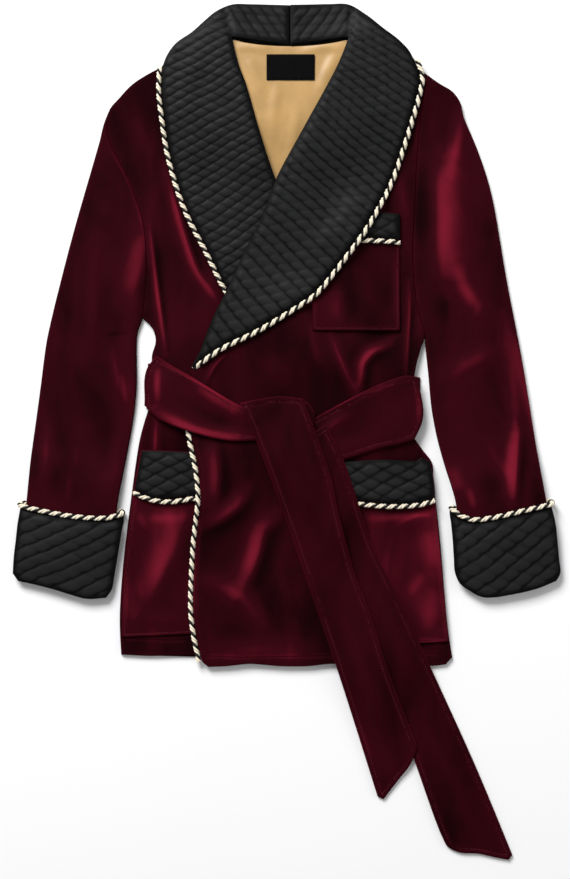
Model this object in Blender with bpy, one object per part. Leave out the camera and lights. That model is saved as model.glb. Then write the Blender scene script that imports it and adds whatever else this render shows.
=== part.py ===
"""A velvet smoking jacket laid flat on its back, built piece by piece as it is cut and sewn.

Lengths in this file are millimetres and become metres where a mesh is made. X runs across the
jacket to the wearer's left, Y runs up to the collar and Z is up from the surface it lies on.
Each piece of cloth is cut from an outline, laid on whatever already lies there, and given its
wall, its folds and its quilting. The pieces are laid in the order in which they cover each other.
"""

import math
from collections import namedtuple

import bpy
import numpy as np
from mathutils import Vector
from mathutils.geometry import delaunay_2d_cdt

MM = 0.001

# Cloth walls and clearances
VELVET = 2.4            # velvet with its lining
PATCH = 2.0             # a pocket patch
SATIN = 1.2             # the satin back lining
LABEL = 1.0
BELT = 4.2              # velvet folded double and pressed
QUILT_WALL = 2.8        # quilted satin at its stitches
CORD_RADIUS = 3.2       # the twisted piping cord
SEAM = 0.4              # between two pieces sewn edge to edge
LAYER = 0.5             # between a piece and what it lies on
SLEEVE_CROWN = 3.2      # how far the upper sleeve stands off the under sleeve

# How finely the pieces are cut
STEP = 22.0             # along an outline
PATCH_STEP = 34.0       # along a pocket patch's straight sides
CORD_STEP = 15.0        # along a cord
SPACING = 31.0          # between points inside a velvet piece
LINING_SPACING = 26.0   # between points on a quilted piece's plain underside
FOLD_STEP = 26.0        # along a fold's crest
FOLD_CLEAR = 13.0       # other points keep this far from a fold's points
TURN_CLEAR = 9.0        # and this far from the line inside a turned-down edge
QUILT_CLEAR = 4.0       # quilting points keep this far inside the outline
SAME_POINT = 5.0        # outline points closer than this are one
LATTICE_MARGIN = 0.42   # of the spacing: how far inner points keep from an outline
CELL = 2.0              # the grid that holds the height of what has been laid
HALF_SPAN = (380.0, 590.0)

# Shapes
TURNED_EDGE = 5.0       # width of an edge that slopes down round what it covers
CROWN_REACH = 38.0      # a sleeve reaches its full crown this far inside its edge
CORD_BULGE = 2.2        # how far a cuff's cord swings out where it turns under the sleeve
PLAIN_MARGIN = 6.0      # quilting stops this far inside the piece that hides it
FOLD_END = 0.45         # of a fold's height is left at its two ends
BAND_ON_CORD = 12.8     # a band's outline this near its cord lies along the cord

Quilt = namedtuple("Quilt", "length width turn puff")
Fold = namedtuple("Fold", "across up to_across to_up half_width height")
Cloth = namedtuple("Cloth", "name loop wall finish folds crown quilt plain spacing turned")

LAPEL_RIGHT_QUILT = Quilt(length=19.0, width=12.0, turn=-32.0, puff=1.8)
LAPEL_LEFT_QUILT = Quilt(length=19.0, width=12.0, turn=-38.0, puff=1.8)
BAND_QUILT = Quilt(length=26.0, width=15.0, turn=2.0, puff=1.8)
CUFF_RIGHT_QUILT = Quilt(length=28.0, width=15.0, turn=-6.0, puff=1.9)
CUFF_LEFT_QUILT = Quilt(length=28.0, width=15.0, turn=14.0, puff=1.9)

# Seam lines. Each row is a point: across, up. "Right" and "left" are the wearer's.
SHOULDER_RIGHT = ((-70, 510), (-112, 497), (-164, 473), (-200, 452), (-229, 421))
ARMHOLE_RIGHT = ((-229, 421), (-233, 398), (-229, 376), (-200, 317), (-185, 266), (-182, 224),
                 (-183, 189), (-187, 150))
SIDE_RIGHT = ((-187, 150), (-173, 135), (-169, 120), (-174, 99), (-173, 81), (-172, 60),
              (-176, 37), (-182, 19), (-190, -10), (-198, -62), (-211, -166), (-216, -240),
              (-214, -289))
SHOULDER_LEFT = ((81, 510), (122, 497), (164, 482), (181, 466))
ARMHOLE_LEFT = ((181, 466), (172, 380), (168, 302), (165, 231), (170, 168), (181, 128))
SIDE_LEFT = ((181, 128), (176, 112), (170, 92), (166, 68), (168, 36), (168, 8), (166, -7),
             (179, -25), (190, -40), (191, -59), (200, -140), (209, -244), (216, -293))
BACK_NECK = ((81, 510), (45, 504), (5, 502), (-35, 504), (-70, 510))
COLLAR_SEAM_FOOT = (5, 503)
COLLAR_FOOT_RIGHT = (-68, 511)
COLLAR_FOOT_LEFT = (80, 511)
BACK_HEM = ((-214, -289), (-100, -292), (60, -296), (216, -293))

# Front edges, roll lines and hems
HEM_RIGHT = ((-214, -289), (-174, -291), (-122, -289), (-8, -289), (120, -285))
EDGE_RIGHT = ((120, -285), (117, -114), (114, 42), (109, 79))
ROLL_RIGHT = ((-70, 513), (-62, 480), (-51, 450), (-39, 408), (-29, 375), (-12, 326), (12, 279),
              (42, 222), (77, 149), (109, 79))
HEM_LEFT = ((-113, -298), (-101, -305), (-77, -304), (-46, -301), (-9, -304), (29, -304),
            (58, -301), (190, -304), (208, -302), (216, -293))
EDGE_LEFT = ((-124, 80), (-127, 42), (-127, 1), (-117, -49), (-114, -86), (-117, -114),
             (-121, -151), (-124, -220), (-121, -258), (-113, -298))
ROLL_LEFT = ((81, 513), (64, 471), (18, 387), (-12, 331), (-32, 279), (-56, 231), (-72, 194),
             (-94, 151), (-113, 103), (-124, 80))

# The collar's top fold and the piped outer edges of the lapels and of the fall
COLLAR_FOLD_RIGHT = ((5, 556), (-70, 557), (-92, 547), (-121, 521), (-144, 504), (-164, 473))
COLLAR_FOLD_LEFT = ((5, 556), (81, 557), (103, 544), (126, 525), (148, 508), (170, 483))
LAPEL_RIGHT_EDGE = ((-164, 473), (-165, 443), (-162, 413), (-153, 356), (-133, 292),
                    (-103, 232), (-77, 181), (-47, 144), (5, 111), (64, 92), (109, 79))
LAPEL_LEFT_EDGE = ((170, 483), (177, 461), (173, 437), (165, 408), (153, 369), (138, 326),
                   (118, 287), (98, 254), (61, 205), (39, 179), (13, 161), (-35, 132),
                   (-82, 109), (-122, 80))
FALL_EDGE = ((-160, 466), (-120, 452), (-60, 442), (5, 438), (70, 444), (125, 458), (166, 475))

# Sleeves down to their mouths inside the cuffs
SLEEVE_RIGHT_OUTER = ((-229, 421), (-237, 401), (-242, 380), (-257, 328), (-272, 276),
                      (-286, 224), (-299, 172), (-311, 120), (-318, 68), (-325, 16),
                      (-332, -36), (-336, -81), (-342, -140), (-345, -183))
SLEEVE_RIGHT_INNER = ((-187, 150), (-194, 128), (-195, 94), (-195, 62), (-198, 27), (-204, -10),
                      (-214, -62), (-220, -97), (-226, -149), (-237, -206))
SLEEVE_RIGHT_MOUTH = ((-345, -183), (-329, -190), (-298, -199), (-260, -210), (-237, -206))
SLEEVE_LEFT_OUTER = ((181, 466), (200, 453), (217, 443), (226, 431), (231, 411), (244, 380),
                     (254, 354), (269, 302), (287, 198), (307, 94), (324, -10), (333, -62),
                     (338, -92), (345, -161), (346, -184))
SLEEVE_LEFT_INNER = ((181, 128), (182, 112), (186, 75), (190, 32), (198, -10), (209, -49),
                     (221, -90), (226, -142), (229, -180), (241, -199))
SLEEVE_LEFT_MOUTH = ((241, -199), (257, -208), (291, -205), (326, -197), (346, -184))

# Turned-back cuffs. The top lines carry the cord; the lower lines run round to its other end.
CUFF_RIGHT_TOP = ((-344, -95), (-309, -103), (-273, -109), (-235, -111), (-214, -106))
CUFF_RIGHT_LOWER = ((-346, -99), (-351, -140), (-355, -183), (-348, -193), (-329, -197),
                    (-298, -205), (-260, -216), (-234, -215), (-227, -205), (-217, -149),
                    (-211, -110))
CUFF_LEFT_TOP = ((216, -100), (227, -108), (245, -113), (274, -109), (309, -101), (344, -93))
CUFF_LEFT_LOWER = ((213, -101), (217, -142), (220, -183), (226, -196), (255, -214), (291, -211),
                   (326, -203), (351, -193), (356, -184), (350, -119), (346, -95))
CUFF_BACK_RISE = 7.0    # the cuff's far rim shows this much above its near one

# Lining and label inside the neck
LINING_LINE = ((-75, 508), (-58, 440), (-30, 330), (-12, 305), (14, 345), (55, 425), (88, 508))
LABEL_CENTRE = (6, 474)
LABEL_SIZE = (63, 34)

# Pockets: the patches, the quilted bands at their tops and the cords below the bands
CHEST_PATCH = ((34, 132), (148, 132), (148, 285), (112, 290), (34, 200))
CHEST_BAND = ((84, 249), (112, 249), (148, 247), (148, 284), (112, 288), (92, 262))
CHEST_CORD = ((90, 249), (116, 249), (147, 247))
HIP_RIGHT_PATCH = ((-214, -266), (-126, -262), (-78, -262), (-79, -26), (-189, -22),
                   (-199, -80), (-209, -166))
HIP_RIGHT_BAND = ((-197, -78), (-173, -88), (-148, -89), (-121, -86), (-80, -84), (-80, -27),
                  (-187, -23))
HIP_RIGHT_CORD = ((-197, -79), (-173, -88), (-148, -90), (-121, -86), (-83, -84))
HIP_LEFT_PATCH = ((64, -274), (165, -274), (212, -272), (200, -150), (192, -60), (187, -38),
                  (60, -38))
HIP_LEFT_BAND = ((64, -90), (96, -92), (135, -96), (173, -94), (193, -88), (191, -62),
                 (187, -38), (176, -32), (169, -37), (129, -35), (60, -39))
HIP_LEFT_CORD = ((64, -90), (96, -93), (135, -96), (173, -94), (193, -88))

# The tie belt: the upper and lower edge of each stretch, and the sides and ends of its tails
BELT_BACK = ((-182, 30), (175, 8), (175, 72), (-180, 90))
BELT_RIGHT_UPPER = ((-179, 86), (-168, 100), (-150, 88), (-120, 71), (-81, 47), (-47, 29),
                    (-12, 18))
BELT_RIGHT_LOWER = ((-184, 35), (-165, 17), (-130, 3), (-100, -6), (-70, -11), (-20, -10))
BELT_LEFT_UPPER = ((4, 6), (32, 17), (96, 51), (132, 67), (159, 74), (171, 72))
BELT_LEFT_LOWER = ((26, -30), (61, -38), (120, -21), (167, -9), (177, 14))
KNOT_UPPER = ((-50, 36), (-20, 41), (14, 43), (28, 39), (38, 26))
KNOT_LOWER = ((-36, -12), (0, -16), (34, -14))
TAIL_FRONT_TOP = ((22, 44), (-9, 47), (-32, 44), (-60, 38))
TAIL_FRONT_INNER = ((-60, 38), (-44, 3), (0, -114), (35, -216), (70, -319), (119, -474))
TAIL_FRONT_END = ((119, -474), (127, -478), (146, -453), (164, -428), (170, -406))
TAIL_FRONT_OUTER = ((170, -406), (132, -307), (110, -236), (90, -185), (70, -112), (55, -46),
                    (22, 44))
TAIL_REAR_INNER = ((16, -10), (83, -205), (148, -374), (194, -504), (209, -538))
TAIL_REAR_END = ((209, -538), (222, -546), (252, -549), (290, -557), (295, -550))
TAIL_REAR_OUTER = ((295, -550), (246, -432), (190, -309), (148, -219), (110, -140), (77, -42),
                   (52, 10))

# The largest folds. Each row: from across, up; to across, up; half width; height.
FOLDS = {
    "front_right": ((-178, 265, -159, 114, 11, 3.6), (-172, 372, -150, 290, 9, 2.6)),
    "front_left": ((129, 116, 98, 94, 10, 3.6), (98, 94, 94, 52, 10, 3.6),
                   (58, 126, 88, 60, 11, 3.4), (158, 180, 153, 84, 9, 2.8),
                   (-76, 110, -100, 70, 9, 2.8), (-92, -22, -90, -80, 12, 3.2),
                   (-106, -192, -66, -190, 12, 3.2), (-70, -232, -40, -196, 12, 3.0)),
    "sleeve_right_top": ((-192, 240, -193, 172, 9, 3.0), (-224, 100, -212, 40, 10, 3.2),
                         (-252, 178, -246, 92, 12, 2.6), (-304, 16, -309, -74, 10, 2.8)),
    "sleeve_left_top": ((208, 356, 214, 190, 20, 3.8), (220, 424, 224, 380, 10, 2.6),
                        (256, 116, 260, 66, 11, 2.8), (215, 14, 246, -54, 11, 3.6),
                        (292, 24, 296, -84, 12, 3.8)),
    "pocket_right": ((-144, -114, -164, -218, 24, 3.8),),
    "pocket_left": ((140, -106, 186, -128, 12, 3.0), (180, -128, 176, -184, 16, 3.4),
                    (182, -226, 160, -250, 12, 3.0)),
}

# Colour, roughness
FINISHES = {
    "wine_velvet": ((0.042, 0.002, 0.007), 0.9),
    "black_satin": ((0.010, 0.010, 0.011), 0.45),
    "gold_satin": ((0.42, 0.27, 0.11), 0.35),
    "black_label": ((0.006, 0.006, 0.007), 0.6),
    "cream_cord": ((0.62, 0.56, 0.47), 0.6),
}


def smooth_line(rows, step=STEP):
    """Points about a step apart on a smooth curve through the rows."""
    points = [Vector(row) for row in rows]
    line = [points[0]]
    for index in range(len(points) - 1):
        before = points[max(index - 1, 0)]
        start, end = points[index], points[index + 1]
        after = points[min(index + 2, len(points) - 1)]
        pieces = max(1, round((end - start).length / step))
        for piece in range(1, pieces + 1):
            t = piece / pieces
            line.append(0.5 * (2 * start + (end - before) * t
                               + (2 * before - 5 * start + 4 * end - after) * t ** 2
                               + (3 * start - before - 3 * end + after) * t ** 3))
    return line


def straight_line(rows, step=STEP):
    """Points about a step apart on straight runs between the rows."""
    line = [Vector(rows[0])]
    for start, end in zip(rows, rows[1:]):
        run = Vector(end) - Vector(start)
        pieces = max(1, round(run.length / step))
        line += [Vector(start) + run * piece / pieces for piece in range(1, pieces + 1)]
    return line


def beside(line, distance):
    """The line moved sideways, to the left of its direction where the distance is positive."""
    moved = []
    for index, point in enumerate(line):
        ahead = line[min(index + 1, len(line) - 1)] - line[max(index - 1, 0)]
        ahead.normalize()
        moved.append(point + distance * Vector((-ahead.y, ahead.x)))
    return moved


def closed_loop(*lines):
    """One outline from lines that meet end to end, turning anticlockwise."""
    loop = []
    for line in lines:
        for point in line:
            if not loop or (point - loop[-1]).length > SAME_POINT:
                loop.append(point.copy())
    while (loop[0] - loop[-1]).length <= SAME_POINT:
        loop.pop()
    area = sum(a.x * b.y - b.x * a.y for a, b in zip(loop, loop[1:] + loop[:1]))
    return loop if area > 0 else loop[::-1]


def inset(loop, distance):
    """The outline moved inwards, square to its edges."""
    moved = []
    for index, point in enumerate(loop):
        into = (point - loop[index - 1]).normalized()
        out = (loop[(index + 1) % len(loop)] - point).normalized()
        inward = Vector((-into.y - out.y, into.x + out.x))
        inward.normalize()
        lean = max(0.5, inward.dot(Vector((-into.y, into.x))))
        moved.append(point + inward * distance / lean)
    return moved


def edge_distance(loop, points):
    """How far each point lies inside the outline; negative outside it."""
    points = np.asarray(points, dtype=float)
    nearest = np.full(len(points), 1e9)
    inside = np.zeros(len(points), dtype=bool)
    for start, end in zip(loop, loop[1:] + loop[:1]):
        a = np.array(start)
        run = np.array(end) - a
        along = np.clip((points - a) @ run / (run @ run), 0.0, 1.0)
        nearest = np.minimum(nearest, np.linalg.norm(points - a - along[:, None] * run, axis=1))
        crosses = (start.y > points[:, 1]) != (end.y > points[:, 1])
        if run[1]:
            inside ^= crosses & (points[:, 0] < a[0] + (points[:, 1] - a[1]) * run[0] / run[1])
    return np.where(inside, nearest, -nearest)


def keep_inside(loop, points, margin):
    """The points that lie more than the margin inside the outline."""
    if not len(points):
        return []
    return [Vector(p) for p, d in zip(points, edge_distance(loop, points)) if d > margin]


def even_points(loop, spacing):
    """A triangular lattice over the outline's inside."""
    row_height = spacing * math.sqrt(3) / 2
    low = [min(p[axis] for p in loop) for axis in (0, 1)]
    high = [max(p[axis] for p in loop) for axis in (0, 1)]
    points = []
    for row in range(int((high[1] - low[1]) / row_height) + 1):
        shift = spacing * (0.25 if row % 2 else 0.75)
        for column in range(int((high[0] - low[0]) / spacing) + 1):
            points.append((low[0] + shift + column * spacing, low[1] + (row + 0.5) * row_height))
    return keep_inside(loop, points, spacing * LATTICE_MARGIN)


def fold_points(folds):
    """Points along the crest and both flanks of each fold."""
    points = []
    for fold in folds:
        start = Vector((fold.across, fold.up))
        run = Vector((fold.to_across, fold.to_up)) - start
        side = Vector((-run.y, run.x)).normalized() * fold.half_width
        count = max(2, round(run.length / FOLD_STEP))
        for index in range(count + 1):
            crest = start + run * index / count
            points += [crest - side, crest, crest + side]
    return points


def fold_height(folds, point):
    """How far the cloth stands up in its folds at a point."""
    height = 0.0
    for fold in folds:
        start = Vector((fold.across, fold.up))
        run = Vector((fold.to_across, fold.to_up)) - start
        along = (point - start).dot(run) / run.length_squared
        nearest = start + run * min(max(along, 0.0), 1.0)
        away = (point - nearest).length / fold.half_width
        if away < 1.0:
            taper = FOLD_END + (1 - FOLD_END) * math.sin(math.pi * min(max(along, 0.0), 1.0))
            height = max(height, fold.height * taper * math.cos(away * math.pi / 2) ** 2)
    return height


def quilt_points(cloth):
    """Stitch crossings and the crests between them, with the stitch lines that join crossings."""
    quilt = cloth.quilt
    turn = math.radians(quilt.turn)
    across = Vector((math.cos(turn), math.sin(turn))) * quilt.length / 2
    up = Vector((-math.sin(turn), math.cos(turn))) * quilt.width / 2
    centre = sum(cloth.loop, Vector((0.0, 0.0))) / len(cloth.loop)
    reach = max((point - centre).length for point in cloth.loop)
    columns = int(reach / across.length) + 1
    rows = int(reach / up.length) + 1
    places = [(column, row) for column in range(-columns, columns + 1)
              for row in range(-rows, rows + 1)]
    spots = [centre + across * column + up * row for column, row in places]
    deep = edge_distance(cloth.loop, spots) > QUILT_CLEAR
    if cloth.plain:
        deep &= edge_distance(cloth.plain, spots) < 0.0
    kept = {place: spot for place, spot, inside in zip(places, spots, deep) if inside}
    crests = [spot for (column, row), spot in kept.items() if (column + row) % 2]
    stitches = []
    for (column, row), spot in kept.items():
        if (column + row) % 2 == 0:
            for neighbour in ((column + 1, row + 1), (column + 1, row - 1)):
                if neighbour in kept:
                    stitches.append((spot, kept[neighbour]))
    crossings = [spot for (column, row), spot in kept.items() if (column + row) % 2 == 0]
    return crossings, crests, stitches


def triangulate(loop, inner, lines=()):
    """Triangles over the outline's inside, through the inner points and along the lines."""
    points = list(loop) + list(inner)
    number = {tuple(point): index for index, point in enumerate(points)}
    edges = [(index, (index + 1) % len(loop)) for index in range(len(loop))]
    edges += [(number[tuple(a)], number[tuple(b)]) for a, b in lines]
    flat, _, faces, sources, _, _ = delaunay_2d_cdt(points, edges, [], 1, 0.001)
    rim = [0] * len(loop)
    for index, source in enumerate(sources):
        for original in source:
            if original < len(loop):
                rim[original] = index
    return [Vector(point) for point in flat], [tuple(face) for face in faces], rim


def cells_under(corners):
    """Grid cells whose centres lie in a triangle, and how much each corner counts in each."""
    (ax, ay), (bx, by), (cx, cy) = corners
    first = [int((min(a, b, c) + half) / CELL) for a, b, c, half in
             ((ax, bx, cx, HALF_SPAN[0]), (ay, by, cy, HALF_SPAN[1]))]
    last = [int((max(a, b, c) + half) / CELL) for a, b, c, half in
            ((ax, bx, cx, HALF_SPAN[0]), (ay, by, cy, HALF_SPAN[1]))]
    columns, rows = np.meshgrid(np.arange(first[0], last[0] + 1),
                                np.arange(first[1], last[1] + 1), indexing="ij")
    x = (columns + 0.5) * CELL - HALF_SPAN[0]
    y = (rows + 0.5) * CELL - HALF_SPAN[1]
    area = (bx - ax) * (cy - ay) - (cx - ax) * (by - ay)
    if abs(area) < 1e-6:
        return None, None
    first_share = ((bx - x) * (cy - y) - (cx - x) * (by - y)) / area
    second_share = ((cx - x) * (ay - y) - (ax - x) * (cy - y)) / area
    third_share = 1.0 - first_share - second_share
    inside = (first_share >= 0) & (second_share >= 0) & (third_share >= 0)
    if not inside.any():
        return None, None
    shares = np.stack([share[inside] for share in (first_share, second_share, third_share)], 1)
    return (columns[inside], rows[inside]), shares


class Ground:
    """The height of what already lies on the surface, cell by cell."""

    def __init__(self):
        size = [int(2 * half / CELL) + 1 for half in HALF_SPAN]
        self.height = np.zeros(size)

    def spread(self):
        """Each cell with the greatest height of the cells around it."""
        high = self.height.copy()
        for axis in (0, 1):
            high = np.maximum(high, np.maximum(np.roll(high, 1, axis), np.roll(high, -1, axis)))
        return np.where(high > 0.0, high + LAYER, 0.0)

    def add_triangles(self, flat, heights, triangles):
        for triangle in triangles:
            cells, shares = cells_under([flat[corner] for corner in triangle])
            if cells:
                top = shares @ heights[list(triangle)]
                self.height[cells] = np.maximum(self.height[cells], top)

    def add_tube(self, route, radius):
        """Raise the ground to the top of a round cord."""
        for start, end in zip(route, route[1:]):
            count = max(1, int((end - start).length / CELL))
            for index in range(count + 1):
                self.add_disc(start + (end - start) * index / count, radius)

    def add_disc(self, point, radius):
        column, row = cell_of(point)
        reach = int(radius / CELL) + 1
        for i in range(column - reach, column + reach + 1):
            for j in range(row - reach, row + reach + 1):
                x = (i + 0.5) * CELL - HALF_SPAN[0] - point.x
                y = (j + 0.5) * CELL - HALF_SPAN[1] - point.y
                if math.hypot(x, y) <= radius:
                    self.height[i, j] = max(self.height[i, j], point.z + radius)


def cell_of(point):
    return int((point[0] + HALF_SPAN[0]) / CELL), int((point[1] + HALF_SPAN[1]) / CELL)


def settle(flat, triangles, raised):
    """The lowest heights at which no triangle dips into what lies under it."""
    level = np.array([raised[cell_of(point)] for point in flat])
    for triangle in triangles:
        cells, shares = cells_under([flat[corner] for corner in triangle])
        if not cells:
            continue
        corners = list(triangle)
        needed = raised[cells]
        short = needed > shares @ level[corners]
        if short.any():
            level[corners] = np.maximum(level[corners], needed[short].max())
    return level


def height_on(flat, heights, triangles, points):
    """Heights of a faceted surface at points above it."""
    found = np.full(len(points), -1e9)
    xy = np.asarray(points, dtype=float)
    for triangle in triangles:
        (ax, ay), (bx, by), (cx, cy) = [flat[corner] for corner in triangle]
        area = (bx - ax) * (cy - ay) - (cx - ax) * (by - ay)
        if abs(area) < 1e-6:
            continue
        first = ((bx - xy[:, 0]) * (cy - xy[:, 1]) - (cx - xy[:, 0]) * (by - xy[:, 1])) / area
        second = ((cx - xy[:, 0]) * (ay - xy[:, 1]) - (ax - xy[:, 0]) * (cy - xy[:, 1])) / area
        third = 1.0 - first - second
        inside = (first >= -1e-4) & (second >= -1e-4) & (third >= -1e-4)
        shares = np.stack((first, second, third), 1)[inside]
        found[inside] = np.maximum(found[inside], shares @ heights[list(triangle)])
    return found


def finish_material(name):
    """The Principled material of one finish."""
    material = bpy.data.materials.get(name)
    if material is None:
        colour, roughness = FINISHES[name]
        material = bpy.data.materials.new(name)
        material.use_nodes = True
        shader = material.node_tree.nodes["Principled BSDF"]
        shader.inputs["Base Color"].default_value = (*colour, 1.0)
        shader.inputs["Roughness"].default_value = roughness
        shader.inputs["Metallic"].default_value = 0.0
        material.diffuse_color = (*colour, 1.0)
    return material


def make_object(name, data, finish):
    """A named object of the jacket in its own copy of a finish."""
    thing = bpy.data.objects.new(name, data)
    material = finish_material(finish).copy()
    material.name = name + "_" + finish
    data.materials.append(material)
    bpy.context.scene.collection.objects.link(thing)
    return thing


def cloth(name, loop, wall=VELVET, finish="wine_velvet", crown=0.0, quilt=None, plain=None,
          spacing=SPACING, turned=0.0):
    """One cut piece: its outline drawn in by half a seam, and how it is finished."""
    folds = [Fold(*row) for row in FOLDS.get(name, ())]
    return Cloth(name, inset(loop, SEAM / 2), wall, finish, folds, crown, quilt, plain, spacing,
                 turned)


def underside_points(piece):
    """The points inside a piece's underside."""
    creases = keep_inside(piece.loop, fold_points(piece.folds), TURNED_EDGE)
    spread = LINING_SPACING if piece.quilt else piece.spacing
    points = even_points(piece.loop, spread)
    points = [p for p in points if all((p - crease).length > FOLD_CLEAR for crease in creases)]
    if piece.turned:
        rim = inset(piece.loop, piece.turned)
        points = [p for p in points if all((p - edge).length > TURN_CLEAR for edge in rim)] + rim
    return points + creases


def lay_cloth(piece, raised):
    """Make one piece on the ground it is given; return its top for those that lie on it."""
    flat, triangles, rim = triangulate(piece.loop, underside_points(piece))
    under = settle(flat, triangles, raised)
    if piece.crown:
        depth = np.clip(edge_distance(piece.loop, flat) / CROWN_REACH, 0.0, 1.0)
        under = under + piece.crown * np.sin(depth * math.pi / 2)
    under = under + np.array([fold_height(piece.folds, point) for point in flat])
    top_flat, top_triangles, top_rim = flat, triangles, rim
    top = under + piece.wall
    if piece.quilt:
        crossings, crests, stitches = quilt_points(piece)
        hidden = even_points(piece.loop, LINING_SPACING) if piece.plain else []
        rest = keep_inside(piece.plain, hidden, PLAIN_MARGIN) if hidden else []
        top_flat, top_triangles, top_rim = triangulate(
            piece.loop, crossings + crests + rest, stitches)
        top = height_on(flat, under, triangles, top_flat) + piece.wall
        for index, corner in enumerate(top_rim):
            top[corner] = under[rim[index]] + piece.wall
        raised_spots = {(round(p.x, 2), round(p.y, 2)) for p in crests}
        for index, point in enumerate(top_flat):
            if (round(point.x, 2), round(point.y, 2)) in raised_spots:
                top[index] += piece.quilt.puff
    corners = [(p.x * MM, p.y * MM, z * MM) for p, z in zip(flat, under)]
    corners += [(p.x * MM, p.y * MM, z * MM) for p, z in zip(top_flat, top)]
    offset = len(flat)
    faces = [face[::-1] for face in triangles]
    faces += [tuple(corner + offset for corner in face) for face in top_triangles]
    for index in range(len(rim)):
        after = (index + 1) % len(rim)
        faces.append((rim[index], rim[after], top_rim[after] + offset))
        faces.append((rim[index], top_rim[after] + offset, top_rim[index] + offset))
    mesh = bpy.data.meshes.new(piece.name)
    mesh.from_pydata(corners, [], faces)
    mesh.update()
    make_object(piece.name, mesh, piece.finish)
    return top_flat, top, top_triangles


def lay(ground, pieces, cords=()):
    """Lay pieces that lie side by side, and cords beside them, on what is there already."""
    raised = ground.spread()
    tops = [lay_cloth(piece, raised) for piece in pieces]
    routes = []
    for name, line in cords:
        heights = [raised_around(raised, point) for point in line]
        smooth = [max(heights[max(i - 1, 0):i + 2]) for i in range(len(heights))]
        route = [Vector((p.x, p.y, z + CORD_RADIUS)) for p, z in zip(line, smooth)]
        make_cord(name, route)
        routes.append(route)
    for flat, top, triangles in tops:
        ground.add_triangles(flat, top, triangles)
    for route in routes:
        ground.add_tube(route, CORD_RADIUS)


def raised_around(raised, point):
    """The ground's greatest height across the width of a cord."""
    column, row = cell_of(point)
    reach = int(CORD_RADIUS / CELL)
    return raised[column - reach:column + reach + 1, row - reach:row + reach + 1].max()


def make_cord(name, route, ring=False):
    """A six-sided tube along a route."""
    curve = bpy.data.curves.new(name, "CURVE")
    curve.dimensions = "3D"
    curve.bevel_depth = CORD_RADIUS * MM
    curve.bevel_resolution = 1
    curve.use_fill_caps = True
    spline = curve.splines.new("POLY")
    spline.points.add(len(route) - 1)
    for point, place in zip(spline.points, route):
        point.co = (*(place * MM), 1.0)
    spline.use_cyclic_u = ring
    return make_object(name, curve, "cream_cord")


def collar_half(name, fold, roll, edge, foot, side, quilt, plain=None):
    """One half of the quilted collar: its stand from the centre back, and its lapel."""
    stand_foot = [Vector(COLLAR_SEAM_FOOT), Vector(foot)]
    cord_side = beside(smooth_line(edge), side * (CORD_RADIUS + SEAM))
    loop = closed_loop(smooth_line(fold)[:-1], cord_side, smooth_line(roll)[::-1], stand_foot[::-1])
    return cloth(name, loop, QUILT_WALL, "black_satin", quilt=quilt, plain=plain)


def cuff_pieces(side, top_line, lower_line, quilt):
    """The two halves of a turned-back cuff, its near cord line and its far one."""
    near = smooth_line(top_line, CORD_STEP)
    far = [point + Vector((0, CUFF_BACK_RISE)) for point in near]
    direction = -(CORD_RADIUS + SEAM)
    lower = smooth_line(lower_line)
    upper_loop = closed_loop(beside(near, direction), lower[::-1])
    under_loop = closed_loop(beside(far, direction), lower[::-1])
    upper = cloth("cuff_" + side + "_top", upper_loop, QUILT_WALL, "black_satin", quilt=quilt,
                  turned=TURNED_EDGE)
    under = cloth("cuff_" + side + "_under", under_loop, QUILT_WALL, "black_satin")
    return upper, under, near, far


def cuff_cord(side, ground, near, far):
    """The cord round a cuff's rim: over the sleeve and back under it."""
    raised = ground.spread()
    heights = [raised_around(raised, point) for point in near]
    high = [max(heights[max(i - 1, 0):i + 2]) for i in range(len(heights))]
    over = [Vector((p.x, p.y, z + CORD_RADIUS)) for p, z in zip(near, high)]
    below = [Vector((p.x, p.y, CORD_RADIUS)) for p in reversed(far)]
    middle = (over[0].z + CORD_RADIUS) / 2
    turns = []
    for top_end, low_end, way in ((over[-1], below[0], 1), (below[-1], over[0], -1)):
        place = (top_end + low_end) / 2
        turns.append(Vector((place.x + way * CORD_BULGE, place.y, middle)))
    make_cord("cord_cuff_" + side, over + [turns[0]] + below + [turns[1]], ring=True)
    ground.add_tube(over, CORD_RADIUS)


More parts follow.
